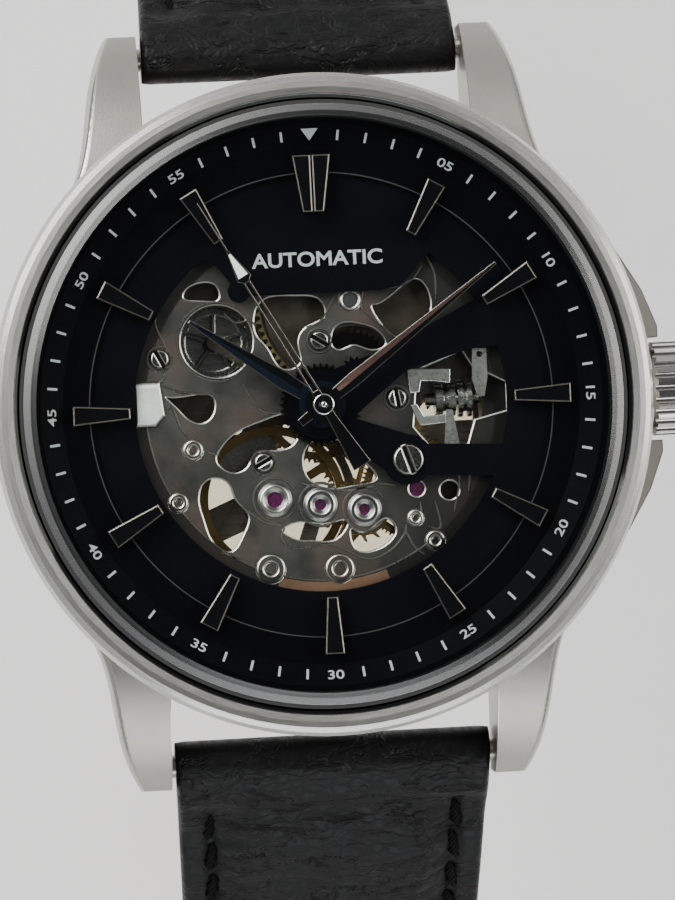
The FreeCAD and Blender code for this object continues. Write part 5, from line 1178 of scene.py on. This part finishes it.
def add_stitch(points, faces, centre, along, across, outward, length, width, height):
    """A stitch: a small rounded bead, added to shared lists."""
    rings = 8
    sides = 8
    faces += quads(rings + 1, sides, start=len(points))
    for row in range(rings + 1):
        t = -1 + 2 * row / rings
        swell = math.sqrt(max(0.0, 1 - abs(t) ** 3.2))
        twist = 0.12 * math.sin(3 * math.pi * t)
        for a in circle(sides):
            offset = along * (t * length / 2) + across * (math.cos(a) * width / 2 * swell + twist * width)
            points.append(centre + offset + outward * (math.sin(a) * height / 2 * swell))


def make_stitches(name, side, length, body, on_face):
    """Two rows of thread along the strap, on its face or on its lining."""
    points = []
    faces = []
    pitch = 2.75 * MM
    start = 4.6 * MM
    stop = length - (7 * MM if side > 0 else 12 * MM)
    across = Vector((1, 0, 0))
    for row_side in (-1, 1):
        for number in range(int((stop - start) / pitch)):
            along = start + pitch * number
            thick = strap_thickness(along)
            x = row_side * (strap_half(side, along, length) - STITCH_IN)
            outward, ahead = strap_axes(side, along)
            if on_face:
                lean = (ahead + across * (0.13 * row_side)).normalized()
                centre = strap_point(side, along, thick / 2 - pad_height(along) - 0.2 * MM, x)
                add_stitch(points, faces, centre, lean, across, outward, *FACE_STITCH)
            else:
                centre = strap_point(side, along + pitch / 2, -thick / 2, x)
                add_stitch(points, faces, centre, ahead, across, outward, *LINING_STITCH)
    mesh = new_mesh(name, points, faces)
    reshape(mesh, face_out)
    add_object(name, mesh, body, "black_leather", BLACK_THREAD if on_face else CREAM_THREAD)


def keeper_path(half_wide, half_tall):
    """Points round a loop with rounded corners, each with its outward direction."""
    radius = 1.5 * MM
    per_corner = 9
    corners = []
    for number in range(4 * per_corner):
        a = math.radians(90 * number / (per_corner - 1) - 90 * (number // per_corner) / (per_corner - 1))
        turn = Vector((math.cos(a), math.sin(a)))
        quarter = math.radians(45 + 90 * (number // per_corner))
        middle = Vector((math.copysign(half_wide - radius, math.cos(quarter)),
                         math.copysign(half_tall - radius, math.sin(quarter))))
        corners.append((middle + turn * radius, turn))
    path = []
    for number, (here, normal) in enumerate(corners):
        path.append((here, normal))
        there, other = corners[(number + 1) % len(corners)]
        extra = int((there - here).length / (0.7 * MM))
        for part in range(1, extra):
            share = part / extra
            path.append((here.lerp(there, share), normal.lerp(other, share).normalized()))
    return path


def make_keeper(name, along, body, node):
    """A leather loop: a rounded band round the strap, its edges turned and its wall soft."""
    wall = 1.1 * MM
    deep = 4.5 * MM
    tall = 5.4 * MM
    low = -STRAP_END_THICK / 2 - 0.5 * MM
    path = keeper_path(STRAP_END_WIDTH / 2 + 0.8 * MM + wall / 2, tall / 2 + wall / 2)
    outward, ahead = strap_axes(1, along)
    across = ahead.cross(outward)
    centre = strap_point(1, along, 0, 0)
    section = []
    for a in circle(20):
        c, s = math.cos(a), math.sin(a)
        section.append((math.copysign(abs(c) ** 0.35, c) * deep / 2,
                        math.copysign(abs(s) ** 0.5, s) * wall / 2))
    points = []
    places = []
    travelled = 0.0
    previous = path[0][0]
    for place, normal in path:
        travelled += (place - previous).length
        previous = place
        for forward, out in section:
            wave = 0.05 * MM * noise.noise(Vector((travelled / MM * 0.4, forward / MM * 0.5, along / MM)))
            spot = place + normal * out + normal * (wave if out > 0 else 0)
            points.append(centre + across * spot.x + outward * (spot.y + low + tall / 2) + ahead * forward)
            places.append((travelled, forward))
    faces = [tuple(index % len(points) for index in quad) for quad in quads(len(path) + 1, len(section))]
    mesh = new_mesh(name, points, faces)
    add_uvs(mesh, places)
    reshape(mesh, face_out)
    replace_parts(add_object(name, mesh, body, "black_leather", BLACK_LEATHER), node)


def make_straps():
    for end, side, length in (("upper", 1, UPPER_LENGTH), ("lower", -1, LOWER_LENGTH)):
        body = f"strap_{end}"
        make_strap(f"{end}_leather", side, length, body)
        make_stitches(f"{end}_stitches", side, length, body, True)
        make_stitches(f"{end}_lining_stitches", side, length, body, False)
    make_keeper("fixed_loop", UPPER_LENGTH - FIXED_LOOP, "strap_upper", "fixed_keeper")
    make_keeper("sliding_loop", UPPER_LENGTH - SLIDING_LOOP, "free_keeper", "free_keeper")
    softened("buckle", "buckle_frame", "buckle", 0.55, "steel_case", BUCKLE_STEEL, 4)
    softened("buckle_pin", "buckle_tongue", "tongue", 0.28, "steel_bright", BUCKLE_STEEL)


# ---------------------------------------------------------------- stage, light and camera
def make_stage():
    low = CAD_BOX[0].z - 0.5 * MM
    size = 3.0
    points = [(-size, -size, low), (size, -size, low), (size, size, low), (-size, size, low)]
    floor = link(bpy.data.objects.new("floor", new_mesh("floor", points, [(0, 1, 2, 3)])))
    graph = Graph("pale_floor")
    cloud = graph.noise(60.0, 3.0)
    pale = graph.blend(graph.span(cloud, 0, 1), rgb(0.72, 0.72, 0.73), rgb(0.78, 0.78, 0.785))
    graph.set({"Base Color": pale, "Roughness": 0.8})
    paint(floor, graph.material)


# The world's colours low down and overhead, and its strength.
HORIZON = rgb(0.85, 0.86, 0.88)
ZENITH = rgb(0.1, 0.1, 0.105)
WORLD_STRENGTH = 0.75

# Soft lamps aimed at the watch: place, size, power in watts and colour.
LAMPS = {
    "window": ((-0.6, 0.55, 0.7), (0.9, 0.7), 20, (1.0, 0.99, 0.97)),
    "room": ((0.8, 0.1, 0.55), (0.6, 0.8), 9, (1.0, 0.97, 0.93)),
    "low_front": ((0.05, -0.9, 0.45), (1.0, 0.4), 4.5, (0.96, 0.98, 1.0)),
}


def make_light():
    """The lamps, and a world that is pale near the horizon and dark overhead."""
    world = bpy.data.worlds.new("studio")
    bpy.context.scene.world = world
    world.use_nodes = True
    tree = world.node_tree
    background = tree.nodes["Background"]
    place = tree.nodes.new("ShaderNodeTexCoord")
    split = tree.nodes.new("ShaderNodeSeparateXYZ")
    ramp = tree.nodes.new("ShaderNodeMapRange")
    mix = tree.nodes.new("ShaderNodeMix")
    mix.data_type = "RGBA"
    tree.links.new(place.outputs["Generated"], split.inputs[0])
    tree.links.new(split.outputs[2], ramp.inputs["Value"])
    ramp.inputs["From Min"].default_value = 0.35
    ramp.inputs["From Max"].default_value = 0.97
    tree.links.new(ramp.outputs[0], mix.inputs[0])
    mix.inputs[6].default_value = HORIZON
    mix.inputs[7].default_value = ZENITH
    tree.links.new(mix.outputs[2], background.inputs["Color"])
    background.inputs["Strength"].default_value = WORLD_STRENGTH
    for name, (spot, size, power, colour) in LAMPS.items():
        data = bpy.data.lights.new(name, "AREA")
        data.shape = "RECTANGLE"
        data.size, data.size_y = size
        data.energy = power
        data.color = colour
        light = link(bpy.data.objects.new(name, data))
        light.location = spot
        light.rotation_euler = (-Vector(spot)).to_track_quat("-Z", "Y").to_euler()


def make_camera():
    """Seen from in front and a little from the 9 o'clock side, with 12 o'clock leaning to the left."""
    back = Vector((-0.078, 0, 0.997)).normalized()
    upright = Vector((0.0497, 0.9988, 0))
    right = upright.cross(back).normalized()
    up = back.cross(right)
    distance = 0.3
    aim_right = 0.86 * MM
    aim_down = 2.9 * MM
    aim = Vector((0, 0, SECONDS_TOP)) + right * aim_right - up * aim_down
    data = bpy.data.cameras.new("camera")
    data.lens = 189.6
    data.sensor_width = 36
    data.sensor_fit = "AUTO"
    camera = link(bpy.data.objects.new("camera", data))
    camera.matrix_world = Matrix.Translation(aim + back * distance) @ Matrix(
        (right, up, back)).transposed().to_4x4()
    bpy.context.scene.camera = camera


make_minute_track()
make_hand_details()
make_plate_details()
make_straps()
make_stage()
make_light()
make_camera()
